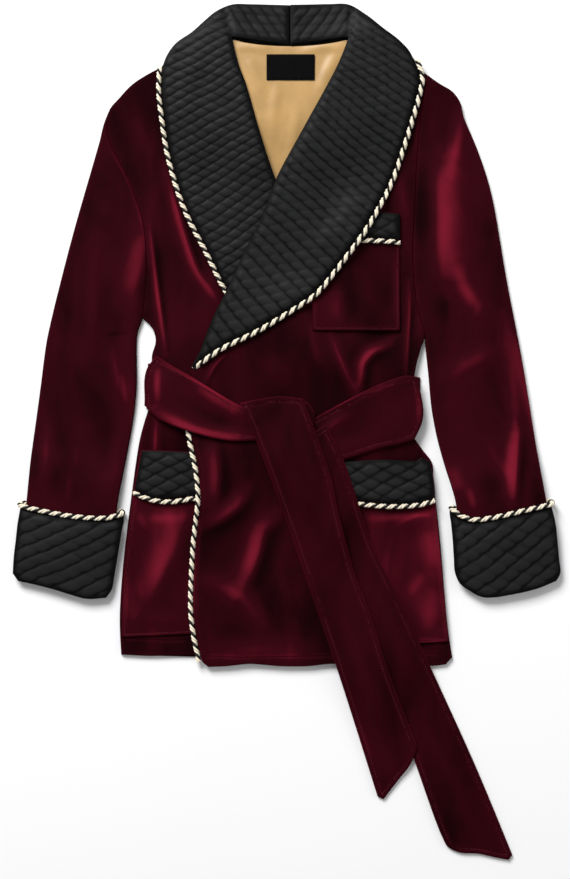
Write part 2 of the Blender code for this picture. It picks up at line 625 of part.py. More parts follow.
def build():
    """Lay the whole jacket, from the pieces on the surface to the tails of the belt."""
    line = smooth_line
    ground = Ground()
    back_loop = closed_loop(line(SHOULDER_RIGHT), line(ARMHOLE_RIGHT), line(SIDE_RIGHT),
                            line(BACK_HEM), line(SIDE_LEFT)[::-1], line(ARMHOLE_LEFT)[::-1],
                            line(SHOULDER_LEFT)[::-1], line(BACK_NECK))
    right_loop = closed_loop(line(SHOULDER_RIGHT), line(ARMHOLE_RIGHT), line(SIDE_RIGHT),
                             line(HEM_RIGHT), line(EDGE_RIGHT), line(ROLL_RIGHT)[::-1])
    front_edge = line(EDGE_LEFT, CORD_STEP)
    left_loop = closed_loop(line(SHOULDER_LEFT)[::-1], line(ROLL_LEFT),
                            beside(front_edge, CORD_RADIUS + SEAM), line(HEM_LEFT),
                            line(SIDE_LEFT)[::-1], line(ARMHOLE_LEFT)[::-1])
    sleeve_right = closed_loop(line(SLEEVE_RIGHT_OUTER), line(SLEEVE_RIGHT_MOUTH),
                               line(SLEEVE_RIGHT_INNER)[::-1], line(ARMHOLE_RIGHT)[::-1])
    sleeve_left = closed_loop(line(SLEEVE_LEFT_INNER), line(SLEEVE_LEFT_MOUTH),
                              line(SLEEVE_LEFT_OUTER)[::-1], line(ARMHOLE_LEFT))
    cuffs = {"right": cuff_pieces("right", CUFF_RIGHT_TOP, CUFF_RIGHT_LOWER, CUFF_RIGHT_QUILT),
             "left": cuff_pieces("left", CUFF_LEFT_TOP, CUFF_LEFT_LOWER, CUFF_LEFT_QUILT)}

    fall_edge = line(FALL_EDGE)
    fall_loop = closed_loop(line(COLLAR_FOLD_RIGHT)[::-1], line(COLLAR_FOLD_LEFT),
                            beside(fall_edge, CORD_RADIUS + SEAM)[::-1])
    lay(ground,
        [cloth("collar_fall", fall_loop, QUILT_WALL, "black_satin"),
         cloth("belt_back", closed_loop([Vector(p) for p in BELT_BACK]), BELT),
         cuffs["right"][1], cuffs["left"][1]],
        [("cord_collar_back", fall_edge)])
    for upper, under, near, far in cuffs.values():
        ground.add_tube([Vector((p.x, p.y, CORD_RADIUS)) for p in far], CORD_RADIUS)

    lay(ground, [cloth("back", back_loop), cloth("sleeve_right_under", sleeve_right),
                 cloth("sleeve_left_under", sleeve_left)])
    lay(ground, [cloth("back_lining", closed_loop(line(LINING_LINE), line(BACK_NECK)), SATIN,
                       "gold_satin")])
    half = Vector(LABEL_SIZE) / 2
    label_loop = [Vector(LABEL_CENTRE) + Vector((half.x * x, half.y * y))
                  for x, y in ((-1, -1), (1, -1), (1, 1), (-1, 1))]
    lay(ground, [cloth("neck_label", label_loop, LABEL, "black_label")])

    lay(ground, [cloth("front_right", right_loop),
                 cloth("sleeve_right_top", sleeve_right, crown=SLEEVE_CROWN)])
    lay(ground, [cloth("pocket_right", patch_loop(HIP_RIGHT_PATCH), PATCH)])
    lay_band(ground, "pocket_right", HIP_RIGHT_BAND, HIP_RIGHT_CORD)
    right_edge = line(LAPEL_RIGHT_EDGE, CORD_STEP)
    lay(ground,
        [collar_half("collar_right", COLLAR_FOLD_RIGHT, ROLL_RIGHT, LAPEL_RIGHT_EDGE,
                     COLLAR_FOOT_RIGHT, 1, LAPEL_RIGHT_QUILT,
                     plain=inset(left_loop, PLAIN_MARGIN))],
        [("cord_collar_right", right_edge[:-2])])

    lay(ground, [cloth("front_left", left_loop),
                 cloth("sleeve_left_top", sleeve_left, crown=SLEEVE_CROWN)],
        [("cord_front_edge", front_edge[2:])])
    lay(ground, [cloth("pocket_chest", patch_loop(CHEST_PATCH), PATCH),
                 cloth("pocket_left", patch_loop(HIP_LEFT_PATCH), PATCH)])
    lay_band(ground, "pocket_chest", CHEST_BAND, CHEST_CORD)
    lay_band(ground, "pocket_left", HIP_LEFT_BAND, HIP_LEFT_CORD)
    left_edge = line(LAPEL_LEFT_EDGE, CORD_STEP)
    lay(ground,
        [collar_half("collar_left", COLLAR_FOLD_LEFT, ROLL_LEFT, LAPEL_LEFT_EDGE,
                     COLLAR_FOOT_LEFT, -1, LAPEL_LEFT_QUILT)],
        [("cord_collar_left", left_edge[:-1])])

    for side, (upper, under, near, far) in cuffs.items():
        lay_cloth(upper, ground.spread())
        cuff_cord(side, ground, near, far)

    right_belt = closed_loop(line(BELT_RIGHT_LOWER), line(BELT_RIGHT_UPPER)[::-1])
    left_belt = closed_loop(line(BELT_LEFT_LOWER), line(BELT_LEFT_UPPER)[::-1])
    knot = closed_loop(line(KNOT_LOWER), line(KNOT_UPPER)[::-1])
    rear = closed_loop(line(TAIL_REAR_INNER), line(TAIL_REAR_END), line(TAIL_REAR_OUTER))
    front = closed_loop(line(TAIL_FRONT_TOP), line(TAIL_FRONT_INNER), line(TAIL_FRONT_END),
                        line(TAIL_FRONT_OUTER))
    lay(ground, [cloth("belt_right", right_belt, BELT, turned=TURNED_EDGE),
                 cloth("belt_left", left_belt, BELT, turned=TURNED_EDGE)])
    lay(ground, [cloth("belt_knot", knot, BELT)])
    lay(ground, [cloth("belt_tail_rear", rear, BELT)])
    lay(ground, [cloth("belt_tail_front", front, BELT)])


def patch_loop(rows):
    """The outline of a pocket patch, straight between its corners."""
    return closed_loop(straight_line(rows + rows[:1], PATCH_STEP))


def lay_band(ground, pocket, band_line, cord_line):
    """The quilted band at a pocket's top, with the cord along its lower edge."""
    loop = closed_loop([Vector(row) for row in band_line])
    cord = smooth_line(cord_line, CORD_STEP)
    lift = Vector((0, CORD_RADIUS + SEAM))
    loop = [point + lift if along_cord(cord, point) else point for point in loop]
    lay(ground, [cloth(pocket + "_band", loop, QUILT_WALL, "black_satin", quilt=BAND_QUILT)],
        [("cord_" + pocket, cord)])


def along_cord(line, point):
    """Whether a point of a band's outline lies along its cord."""
    return min((point - other).length for other in line) < BAND_ON_CORD


def clear_scene():
    for thing in list(bpy.data.objects):
        bpy.data.objects.remove(thing, do_unlink=True)


clear_scene()
build()
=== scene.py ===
"""Smoking jacket: velvet, quilted satin, twisted cord and sewing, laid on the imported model.

Lengths in the tables are millimetres: X runs to the wearer's left, Y up to the collar and Z up
from the surface that the jacket lies on. Each piece of cloth is a thin shell on the form of its
CAD piece, whose outline and underside are read from the frame.
"""

import math
from collections import namedtuple

import bmesh
import bpy
import numpy as np
from bpy.props import FloatProperty, FloatVectorProperty, IntProperty, PointerProperty
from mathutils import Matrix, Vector
from mathutils.bvhtree import BVHTree
from mathutils.geometry import delaunay_2d_cdt


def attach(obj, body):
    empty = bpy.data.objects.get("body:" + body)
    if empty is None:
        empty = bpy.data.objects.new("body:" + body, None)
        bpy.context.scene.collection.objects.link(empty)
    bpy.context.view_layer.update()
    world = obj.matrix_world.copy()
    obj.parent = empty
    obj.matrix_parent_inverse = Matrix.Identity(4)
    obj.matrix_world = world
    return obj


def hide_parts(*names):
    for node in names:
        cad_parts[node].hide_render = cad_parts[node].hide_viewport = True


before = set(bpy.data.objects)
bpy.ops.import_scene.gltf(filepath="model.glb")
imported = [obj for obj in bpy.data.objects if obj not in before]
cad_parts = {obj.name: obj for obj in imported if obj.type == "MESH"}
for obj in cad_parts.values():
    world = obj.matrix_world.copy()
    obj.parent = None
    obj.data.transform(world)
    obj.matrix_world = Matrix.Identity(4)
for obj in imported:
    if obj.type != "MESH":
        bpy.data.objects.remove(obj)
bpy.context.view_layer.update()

bl_info = {
    "name": "Smoking Jacket",
    "version": (1, 0, 0),
    "blender": (4, 5, 0),
    "location": "3D View > Sidebar > Jacket",
    "description": "Dresses a packed smoking jacket in velvet, quilted satin, cord and sewing",
    "category": "Object",
}

MM = 0.001
WELD = 1e-5
UPRIGHT = 0.02          # faces whose normals rise less than this are a piece's side walls
WHOLE_RIM = 0.9         # the share of a piece's rim that its outline has to take in
CORNER = math.radians(38)
SHADED_WAY = np.array((0.45, -0.9))     # across the cloth, away from the light

# How the underside settles, on a grid, over what is below it
GRID = 4.0
ABOVE_ALL = 200.0       # heights are looked for downwards from here
NEAR_THE_TOP = 10.0     # and beside the piece, at the face that is nearest to this height
SOFTENED_BEFORE = 6     # rounds of softening before it settles, and after
SOFTENED_AFTER = 4
SETTLE_ROUNDS = 30
FLAT_ON_FLOOR = 0.01    # a piece that lies lower than this all over stays flat
SETTLE_SINK = 1.0       # it may press this far into the CAD piece's facets

# How a shell's mesh is laid out
RIM_RINGS = (0.16, 0.5, 1.0)    # rings inside the outline, as shares of half the wall
EDGE_ROOM = 0.45        # the least room beside the rim, a groove and a crease, in mesh spacings
GROOVE_ROOM = 0.35
CREASE_ROOM = 0.3
NARROW_CREASE = 8.0     # the mesh follows creases that are narrower than this
FOLLOWED_STEP = 3.0     # in steps this long, in rows at these shares of the half width
FOLLOWED_ROWS = (-1.0, -0.5, 0.0, 0.5, 1.0)
SAME_POINT = 0.004      # points nearer than this become one

# A sewn or pressed line: its points, half width and depth.
Groove = namedtuple("Groove", "line half_width depth")
SEAM_WIDTH, SEAM_DEPTH = 1.3, 0.4
STITCHED_WIDTH, STITCHED_DEPTH = 1.1, 0.6
STITCHED_RIM = 0.35     # how much the edge outside a stitched line stands up

# Quilting: a diamond's length and width, the pattern's turn, which way its strong stitch lines
# lean (1 falling, -1 rising), how far they fan out from line to line, the puff between them, and
# the share of that puff that is left along the fainter second set of lines.
Quilt = namedtuple("Quilt", "length width turn lean fan puff faint")

LAPEL_RIGHT_QUILT = Quilt(26.0, 13.2, 6.5, -1, 0.005, 1.3, 0.25)
LAPEL_LEFT_QUILT = Quilt(30.0, 13.6, -16.0, 1, -0.0105, 1.4, 0.5)
STAND_RIGHT_QUILT = Quilt(28.0, 13.0, -32.0, 1, 0.0, 0.9, 0.4)
STAND_LEFT_QUILT = Quilt(28.0, 13.0, 32.0, -1, 0.0, 0.9, 0.4)
BAND_QUILT = Quilt(33.0, 17.0, 1.0, -1, 0.0, 1.5, 0.15)
CUFF_RIGHT_QUILT = Quilt(36.7, 17.1, 0.5, -1, 0.006, 1.5, 0.6)
CUFF_LEFT_QUILT = Quilt(32.6, 18.8, 8.0, -1, 0.012, 1.5, 0.45)
FALL_QUILT = Quilt(26.0, 15.0, 0.0, 1, 0.0, 1.6, 0.2)
SCALLOP = 0.08          # how far the strong stitch lines sag between the faint ones
PUFF_ROUNDING = 2.5     # how fast the satin rises beside a stitch line
PUFF_FLATNESS = 0.75    # and how flat it is at the crest
PUFF_LEAST = 0.74       # each diamond's own share of the puff: the least, and how far it varies
PUFF_SPREAD = 0.48
SCATTER = (12.9898, 78.233, 43758.5453)     # turns a diamond's place into its own fixed share
QUILT_OUTLINE_STEP = 2.6
QUILT_RIM_ROOM = 0.9
QUILT_FADE = (1.5, 7.0)         # the puff starts this far inside the edge, and is full so far on
THIN_EDGE = (0.8, 6.0)          # how much thinner the edge is pressed, and how far in
PRESSED_WALL = 0.4      # the least of the wall that is left in a crease, and in velvet's
PRESSED_VELVET = 0.6
HOLLOW_SHARE = 0.45     # how much of the puff goes up into a piece that lies on the floor
# The wandering of the stitch lines: the way it goes (0 across, 1 up), how far, how long its waves
# are across and up (0 where they run straight), and its phase.
WANDER = ((0, 1.7, 0.0, 31.0, 0.4), (0, 1.0, 17.0, 23.0, 0.0), (1, 1.6, 29.0, 0.0, 1.1),
          (1, 1.0, -27.0, 19.0, 0.0), (1, 0.5, 11.0, 14.0, 0.0))

# How a crease stands up and the highlight painted into the velvet's colour along it, in its half
# widths: how far it reaches, how its ends fade, the widths of a crisp side and a soft one, the
# painted shade beyond a crisp side (how dark, where and how wide), and the core and the halo of a
# soft crease's painted highlight (how bright and how wide).
CREASE_STEP = 4.0       # the shortest step along a crease's line, in millimetres
CREASE_REACH = 1.3
CREASE_ENDS = 0.04
CREASE_FADE = 0.6
CRISP_SIDE, SOFT_SIDE = 0.5, 1.25
PAINTED_SHADE_EDGE = (0.2, 1.3, 0.6)
SOFT_PAINTED_SHINE = ((0.35, 0.6), (0.65, 1.2))

# The creases of each piece. Each has its half width, how far the cloth stands up
# along it, how much highlight is painted into its nap colour (painted shade where it is negative),
# its sharp side (1 away from the light, -1 towards it, 0 where both are soft), and then the points
# that it runs through.
CREASES = {
    "front_right": (
        (6, 2.2, 0.64, 1, (-157, 349), (-146, 304), (-129, 245), (-115, 208), (-95, 180),
         (-86, 166)),
        (12, 0.6, 0.22, 0, (-112, 216), (-98, 192), (-88, 176)),
        (16, 0.8, 0.12, 0, (-160, 330), (-142, 270), (-124, 222)),
        (4.2, 2.2, 0.72, 1, (-177, 270), (-171, 217), (-165, 170), (-158, 120), (-155, 100)),
        (8, 0.6, 0.1, 0, (-150, 240), (-150, 160), (-146, 104)),
        (4, 1.4, 0.55, 0, (-168, 20), (-169, 0), (-171, -38)),
        (4, 0.8, 0.2, 0, (-186, 20), (-190, -30)),
        (7, 1.0, 0.1, 0, (-168, 330), (-176, 270)),
        (12, 1.2, 0.2, 0, (-198, 412), (-186, 380), (-176, 352)),
        (12, 0.8, 0.12, 0, (-203, -98), (-209, -170), (-212, -250)),
        (14, 1.2, 0.22, 0, (-104, 168), (-104, 120)),
        (14, 1.0, 0.1, 0, (-135, 172), (-134, 112)),
    ),
    "front_left": (
        (5, 1.2, 0.3, 0, (150, 327), (154, 300), (158, 277)),
        (6, 1.0, 0.32, 0, (176, 416), (174, 390), (172, 360)),
        (3.0, 1.4, 0.5, 1, (161, 196), (161, 165), (160, 142), (156, 74)),
        (4, 0.6, 0.22, 0, (169, 241), (173, 222), (177, 204)),
        (6, 0.8, 0.2, 0, (176, 160), (173, 118)),
        (7, 2.6, 0.74, 1, (135, 116), (123, 109), (111, 103), (100, 89), (98, 74), (94, 52)),
        (5, 2.2, 0.52, 0, (58, 127), (69, 97), (82, 68), (91, 52)),
        (12, 0.0, -0.08, 0, (92, 118), (86, 90)),
        (5, 1.4, 0.3, 0, (33, 140), (37, 115), (41, 92)),
        (3, 1.6, 0.4, 1, (-78, 101), (-92, 86), (-103, 66)),
        (16, 1.0, 0.12, 0, (-38, 96), (10, 60)),
        (20, 0.0, -0.12, 0, (-24, 130), (18, 114), (46, 128)),
        (40, 0.0, 0.07, 0, (-72, -40), (-76, -150), (-64, -262)),
        (11, 2.2, 0.56, 1, (-95, -14), (-91, -57), (-94, -92)),
        (11, 2.2, 0.56, 1, (-108, -122), (-86, -111), (-66, -96), (-50, -76)),
        (12, 3.0, 0.62, 1, (-10, -108), (-31, -126), (-38, -153), (-49, -183), (-62, -208)),
        (13, 1.8, 0.4, 0, (-116, -190), (-84, -200), (-56, -216), (-34, -244), (-24, -262)),
        (18, 0.8, 0.42, 0, (-106, -288), (-40, -284), (30, -284)),
        (5, 0.6, 0.34, 0, (-111, -66), (-117, -110), (-120, -180), (-118, -250)),
        (14, 1.2, 0.12, 0, (-6, -190), (6, -262)),
        (14, 1.0, 0.12, 0, (110, 10), (118, -30)),
        (14, 1.0, 0.1, 0, (40, -120), (62, -200)),
        (10, 0.8, 0.12, 0, (110, -292), (190, -290)),
        (12, 0.0, -0.08, 0, (-14, -190), (0, -240)),
    ),
    "sleeve_right_top": (
        (8, 1.0, 0.12, 0, (-220, 436), (-205, 393), (-189, 376)),
        (3, 1.4, 0.24, 1, (-225, 362), (-212, 338), (-200, 312)),
        (3, 1.4, 0.22, 0, (-200, 312), (-191, 285), (-186, 265)),
        (14, 2.6, 0.46, 1, (-188, 262), (-190, 221), (-198, 185), (-198, 148)),
        (13, 1.6, 0.28, 1, (-198, 148), (-203, 115), (-203, 76), (-200, 30), (-203, -2)),
        (5, 1.8, 0.26, 0, (-225, 108), (-221, 80), (-218, 50)),
        (4, 1.4, 0.22, 0, (-213, 75), (-210, 56), (-209, 39)),
        (9, 1.4, 0.13, 0, (-247, 247), (-249, 181), (-252, 130), (-255, 94)),
        (7, 1.6, 0.24, 0, (-309, 10), (-312, -30), (-315, -67)),
        (3, 1.0, 0.14, 0, (-271, -19), (-271, -45)),
        (3, 1.2, 0.2, 0, (-280, -60), (-282, -88)),
        (13, 1.8, 0.28, 0, (-214, 0), (-219, -30), (-226, -60), (-236, -84)),
        (3.5, -0.5, -0.1, 0, (-237, 125), (-218, 128), (-200, 128)),
        (16, 1.0, 0.08, 0, (-226, 320), (-250, 240)),
        (14, 0.0, -0.06, 0, (-232, 200), (-244, 140)),
    ),
    "sleeve_left_top": (
        (9, 1.8, 0.42, 0, (229, 418), (224, 382), (217, 350), (213, 322)),
        (23, 2.6, 0.74, -1, (206, 356), (203, 320), (204, 285), (205, 225), (208, 188)),
        (11, 2.0, 0.42, 0, (220, 222), (230, 190), (243, 172), (249, 164), (252, 142)),
        (12, 1.8, 0.28, 0, (275, 108), (242, 92), (209, 76)),
        (20, 1.0, 0.16, 0, (220, 85), (223, 12)),
        (7, 1.4, 0.36, 1, (283, 156), (299, 116), (310, 63), (323, 10), (331, -30)),
        (10, 1.8, 0.36, 0, (282, 140), (291, 96), (297, 40), (299, -16)),
        (9, 3.0, 0.8, 1, (300, 6), (297, -30), (295, -60), (294, -92)),
        (8, 1.0, 0.2, 0, (262, -10), (275, -38), (290, -60)),
        (12, 1.6, 0.3, 0, (213, -40), (220, -56), (226, -80)),
        (7, 2.0, 0.36, 0, (236, -70), (241, -86), (245, -102)),
        (14, 0.0, -0.08, 0, (262, 280), (270, 200)),
        (13, 0.0, -0.08, 0, (258, -40), (268, -84)),
    ),
    "pocket_right": (
        (18, 1.4, 0.46, 1, (-134, -104), (-142, -125), (-152, -150), (-172, -192), (-188, -224)),
        (8, 1.0, 0.3, 0, (-180, -112), (-150, -112), (-124, -108)),
        (6, 1.4, 0.16, 0, (-194, -104), (-179, -128)),
        (11, 1.0, 0.26, 0, (-116, -186), (-126, -230)),
        (9, 0.8, 0.12, 0, (-200, -240), (-130, -244)),
    ),
    "pocket_left": (
        (6, 1.4, 0.26, 0, (104, -113), (150, -110), (194, -104)),
        (3, 1.0, 0.26, 0, (146, -118), (170, -109), (190, -109)),
        (14, 1.4, 0.34, 0, (182, -125), (190, -152), (192, -180)),
        (8, 1.6, 0.24, 0, (179, -183), (170, -198), (160, -210)),
        (14, 1.2, 0.26, 0, (192, -199), (188, -230), (182, -262)),
        (14, 1.0, 0.14, 0, (132, -150), (126, -220)),
    ),
    "pocket_chest": (
        (14, 1.2, 0.38, 1, (66, 188), (66, 165), (68, 138)),
        (4, 0.8, 0.24, 0, (143, 228), (144, 190), (144, 142)),
        (16, 0.8, 0.1, 0, (104, 220), (110, 160)),
    ),
    "belt_right": (
        (3, 1.0, 0.34, 1, (-163, 90), (-128, 71), (-93, 52), (-62, 31)),
        (9, 1.6, 0.42, 0, (-118, 60), (-84, 38), (-60, 22)),
        (6, 1.6, 0.5, 0, (-165, 86), (-167, 62), (-166, 38)),
        (10, -1.0, -0.12, 0, (-128, 40), (-90, 18), (-50, 10)),
        (8, 2.4, 0.62, 0, (-168, 32), (-150, 18), (-117, 3), (-81, -4), (-47, -6)),
    ),
    "belt_left": (
        (3.5, 1.0, 0.3, 0, (36, 15), (62, 32), (95, 47), (130, 60), (160, 70)),
        (7, 2.2, 0.38, 0, (40, 0), (52, 4), (64, 13), (84, 24)),
        (5, 1.4, 0.3, 0, (168, 64), (172, 36), (171, 8)),
        (12, 0.8, 0.14, 0, (156, 62), (158, 20)),
        (12, 0.8, 0.12, 0, (44, -24), (110, -10)),
    ),
    "belt_tail_front": (
        (12, 1.0, 0.12, 0, (-30, 20), (10, -80), (40, -180)),
        (12, 1.0, 0.16, 0, (70, -230), (95, -300), (112, -360)),
        (12, 0.8, 0.16, 0, (100, -390), (136, -450)),
        (10, 0.0, -0.06, 0, (0, 10), (24, -60)),
    ),
    "belt_tail_rear": (
        (14, 1.0, 0.12, 0, (110, -190), (140, -260), (170, -330)),
        (10, 0.8, 0.1, 0, (184, -392), (214, -450), (240, -510)),
    ),
    "back_lining": (
        (7, 1.4, 0.0, 0, (-50, 486), (-38, 462), (-30, 440)),
        (8, 1.6, 0.0, 0, (-10, 455), (-16, 416), (-18, 380)),
        (9, 2.0, 0.0, 0, (66, 492), (54, 468), (44, 440)),
        (6, 1.4, 0.0, 0, (78, 500), (48, 500), (20, 494)),
        (8, 1.4, 0.0, 0, (14, 420), (10, 386), (2, 350)),
        (6, 1.2, 0.0, 0, (-64, 500), (-42, 500), (-20, 497)),
    ),
    "collar_right": (
        (6, -1.6, 0.0, 0, (-80, 552), (-70, 512)),
        (16, 1.2, 0.0, 0, (-112, 500), (-124, 460), (-128, 420)),
        (10, 1.0, 0.0, 0, (-60, 440), (-30, 350)),
    ),
    "collar_left": (
        (6, -1.6, 0.0, 0, (88, 552), (80, 512)),
        (16, 1.2, 0.0, 0, (124, 490), (136, 456), (140, 420)),
        (10, 1.0, 0.0, 0, (50, 420), (20, 350)),
        (14, 1.0, 0.0, 0, (90, 300), (54, 254), (20, 220)),
    ),
    "sleeve_right_under": (
        (12, 0.8, 0.2, 0, (-215, 300), (-230, 240), (-236, 180)),
        (12, 0.8, 0.2, 0, (-270, 90), (-282, 36), (-286, -20)),
        (6, 0.8, 0.2, 0, (-216, 90), (-232, 60), (-240, 20)),
    ),
    "sleeve_left_under": (
        (12, 0.8, 0.2, 0, (215, 300), (228, 240), (232, 180)),
        (12, 0.8, 0.2, 0, (270, 90), (284, 36), (288, -20)),
        (6, 0.8, 0.2, 0, (222, 60), (236, 34), (246, -10)),
    ),
    "back": (
        (14, 0.8, 0.2, 0, (-150, 380), (-158, 290), (-158, 200)),
        (14, 0.8, 0.2, 0, (140, 360), (148, 280), (150, 200)),
        (16, 0.8, 0.18, 0, (-60, -80), (-74, -170), (-80, -260)),
        (16, 0.8, 0.18, 0, (60, -90), (76, -180), (84, -270)),
        (8, 0.8, 0.2, 0, (-120, 60), (-60, 40), (-10, 44)),
        (8, 0.8, 0.2, 0, (116, 58), (64, 44), (20, 46)),
    ),
}

# Sewn lines on the velvet, besides the lines that run along a piece's edge.
SEAMS = {
    "back": (((5, 500), (6, 250), (2, 0), (0, -290)),),
    "front_right": (((-205, -268), (-150, -270), (-132, -269)),),
    "front_left": (((-104, -290), (-60, -292), (0, -291), (60, -290), (130, -290), (196, -287)),
                   ((-120, 48), (-121, 2), (-111, -49), (-108, -86), (-111, -114), (-115, -151),
                    (-118, -220), (-115, -258), (-108, -288))),
}

# How each velvet piece is finished: which wall it has, its mesh spacing, how bright its nap is
# painted (its painted tone, which stands for how the light falls on the piece), how far in its
# edge is stitched (none where that is 0), how the cloth is held and what it rests on.
Velvet = namedtuple("Velvet", "wall spacing tone stitched held rests_on")
SEAM_TURNING = 0.8      # how far the pieces on the floor reach into the seams between them
SEWN_PAINTED_HIGHLIGHT = (0.18, 1.6, 1.0)    # painted highlight on the nap beside a sewn line: how bright, where and how wide and painted shade in the line itself: how dark and how wide
SEWN_PAINTED_SHADE = (0.1, 0.8)         # and in the line itself: how dark and how wide
FOLDED_PAINTED_HIGHLIGHT = 0.34      # the painted highlight on the nap along a folded edge, and along a cut one
CUT_PAINTED_HIGHLIGHT = 0.14
EDGE_PAINTED_HIGHLIGHT_WIDTH = 2.2
VELVET_PIECES = {
    "back": Velvet("velvet_wall", 6.0, 0.12, 0.0, "laid", "collar_fall"),
    "front_right": Velvet("velvet_wall", 4.0, 0.09, 0.0, "laid", "back"),
    "front_left": Velvet("velvet_wall", 4.0, 0.11, 0.0, "laid", "front_right"),
    "sleeve_right_under": Velvet("velvet_wall", 6.0, 0.15, 0.0, "laid", "cuff_right_under"),
    "sleeve_right_top": Velvet("velvet_wall", 3.8, 0.17, 0.0, "laid", "sleeve_right_under"),
    "sleeve_left_under": Velvet("velvet_wall", 6.0, 0.15, 0.0, "laid", "cuff_left_under"),
    "sleeve_left_top": Velvet("velvet_wall", 3.8, 0.18, 0.0, "laid", "sleeve_left_under"),
    "pocket_chest": Velvet("patch_wall", 4.0, 0.14, 3.0, "laid", "front_left"),
    "pocket_right": Velvet("patch_wall", 4.0, 0.33, 3.0, "laid", "front_right"),
    "pocket_left": Velvet("patch_wall", 4.0, 0.33, 3.0, "laid", "front_left"),
    "belt_back": Velvet("belt_wall", 6.0, 0.15, 6.0, "folded", "back"),
    "belt_right": Velvet("belt_wall", 3.4, 0.2, 5.0, "folded", "front_right"),
    "belt_left": Velvet("belt_wall", 3.4, 0.14, 6.0, "folded", "front_left"),
    "belt_knot": Velvet("belt_wall", 3.4, 0.12, 0.0, "folded", "belt_left"),
    "belt_tail_rear": Velvet("belt_wall", 3.4, 0.12, 6.0, "folded", "front_left"),
    "belt_tail_front": Velvet("belt_wall", 3.4, 0.16, 6.0, "folded", "belt_knot"),
}
BODY_PIECES = ("back", "front_right", "front_left")
SLEEVE_PIECES = ("sleeve_right_under", "sleeve_right_top", "sleeve_left_under", "sleeve_left_top")
POCKET_PIECES = ("pocket_chest", "pocket_right", "pocket_left")
BELT_PIECES = ("belt_back", "belt_right", "belt_left", "belt_knot", "belt_tail_rear",
               "belt_tail_front")

# The collar's stand lies inside these lines; the lapels are outside them.
STAND_FOOT = 508.0
STAND_SIDES = (-74.0, 84.0)

# Routes of the piping cords. The cuffs' cords run back under the sleeve, a little higher up.
CORD_ROUTES = {
    "cord_collar_right": ((-164, 473), (-165, 443), (-162, 413), (-153, 356), (-133, 292),
                          (-103, 232), (-77, 181), (-47, 144), (5, 111), (64, 92), (84, 86)),
    "cord_collar_left": ((170, 483), (177, 461), (173, 437), (165, 408), (153, 369), (138, 326),
                         (118, 287), (98, 254), (61, 205), (39, 179), (13, 161), (-35, 132),
                         (-82, 109), (-110, 90), (-120, 82)),
    "cord_collar_back": ((-160, 466), (-120, 452), (-60, 442), (5, 438), (70, 444), (125, 458),
                         (166, 475)),
    "cord_front_edge": ((-126, 54), (-127, 42), (-127, 1), (-117, -49), (-114, -86),
                        (-117, -114), (-121, -151), (-124, -220), (-121, -258), (-113, -298)),
    "cord_pocket_chest": ((90, 249), (116, 249), (147, 247)),
    "cord_pocket_right": ((-197, -79), (-173, -88), (-148, -90), (-121, -86), (-83, -84)),
    "cord_pocket_left": ((64, -90), (96, -93), (135, -96), (173, -94), (193, -88)),
}
CUFF_ROUTES = {
    "cord_cuff_right": ((-344, -95), (-309, -103), (-273, -109), (-235, -111), (-214, -106)),
    "cord_cuff_left": ((216, -100), (227, -108), (245, -113), (274, -109), (309, -101),
                       (344, -93)),
}
CUFF_BACK_RISE = 4.0
CUFF_CORD_SWING = 2.2   # how far it stands out where it turns round the sleeve's edge
# The cord's strands: the share of its radius, the place round it in degrees, and 0 for cream
# or 1 for black.
STRANDS = ((0.5, 0.0, 0), (0.5, 100.0, 0), (0.47, 230.0, 1))
STRAND_SIDES = 8
CORD_STEP = 1.1
CORD_SOFTENED = 6       # rounds that ease the bends of its route
ROUTE_STEP = 5.0

# Stitches: their radius, the gap between them as a share of their length, and how far their
# middles stand out of the cloth as a share of their radius
STITCH_RADIUS = 0.32
STITCH_GAP = 0.12
STITCH_RISE = 0.25
# The faces of one stitch: its corners are an end, four round its middle, and the other end.
SPINDLE = ((0, 2, 1), (0, 3, 2), (0, 4, 3), (0, 1, 4), (5, 1, 2), (5, 2, 3), (5, 3, 4), (5, 4, 1))

# Finishes
BUMP_STRENGTH = 0.5
TUFT_SWING = 0.1        # how much the single tufts lighten and darken the velvet
MOTTLE_SWING = 0.5      # and the weave's unevenness the quilted satin
STITCH_SHADE = 0.12     # painted shade in the satin's stitch lines: its colour there, as a share of its own
GLOSS_SPREAD = 0.06     # how far the gloss of a weave varies each way
FLOOR_SHADE = 0.985     # the paper's darker mottling, as a share of its colour

# The stage: places and sizes in metres, the camera's lens and sensor in millimetres
FLOOR_SIZE = 8.0
FLOOR_DROP = 0.0005
CAMERA_PLACE = (-0.0013, -0.0091, 2.705)
CAMERA_LENS = 85.0
SENSOR = 36.0
DAYLIGHT = 0.36
# Each lamp: its name, size, watts, place and what it points at.
LAMPS = (("key_light", 2.0, 260.0, (-1.5, 3.0, 2.9), (0.0, 0.0, 0.0)),
         ("side_light", 0.8, 5.0, (1.9, -0.3, 0.8), (0.1, 0.0, 0.0)))


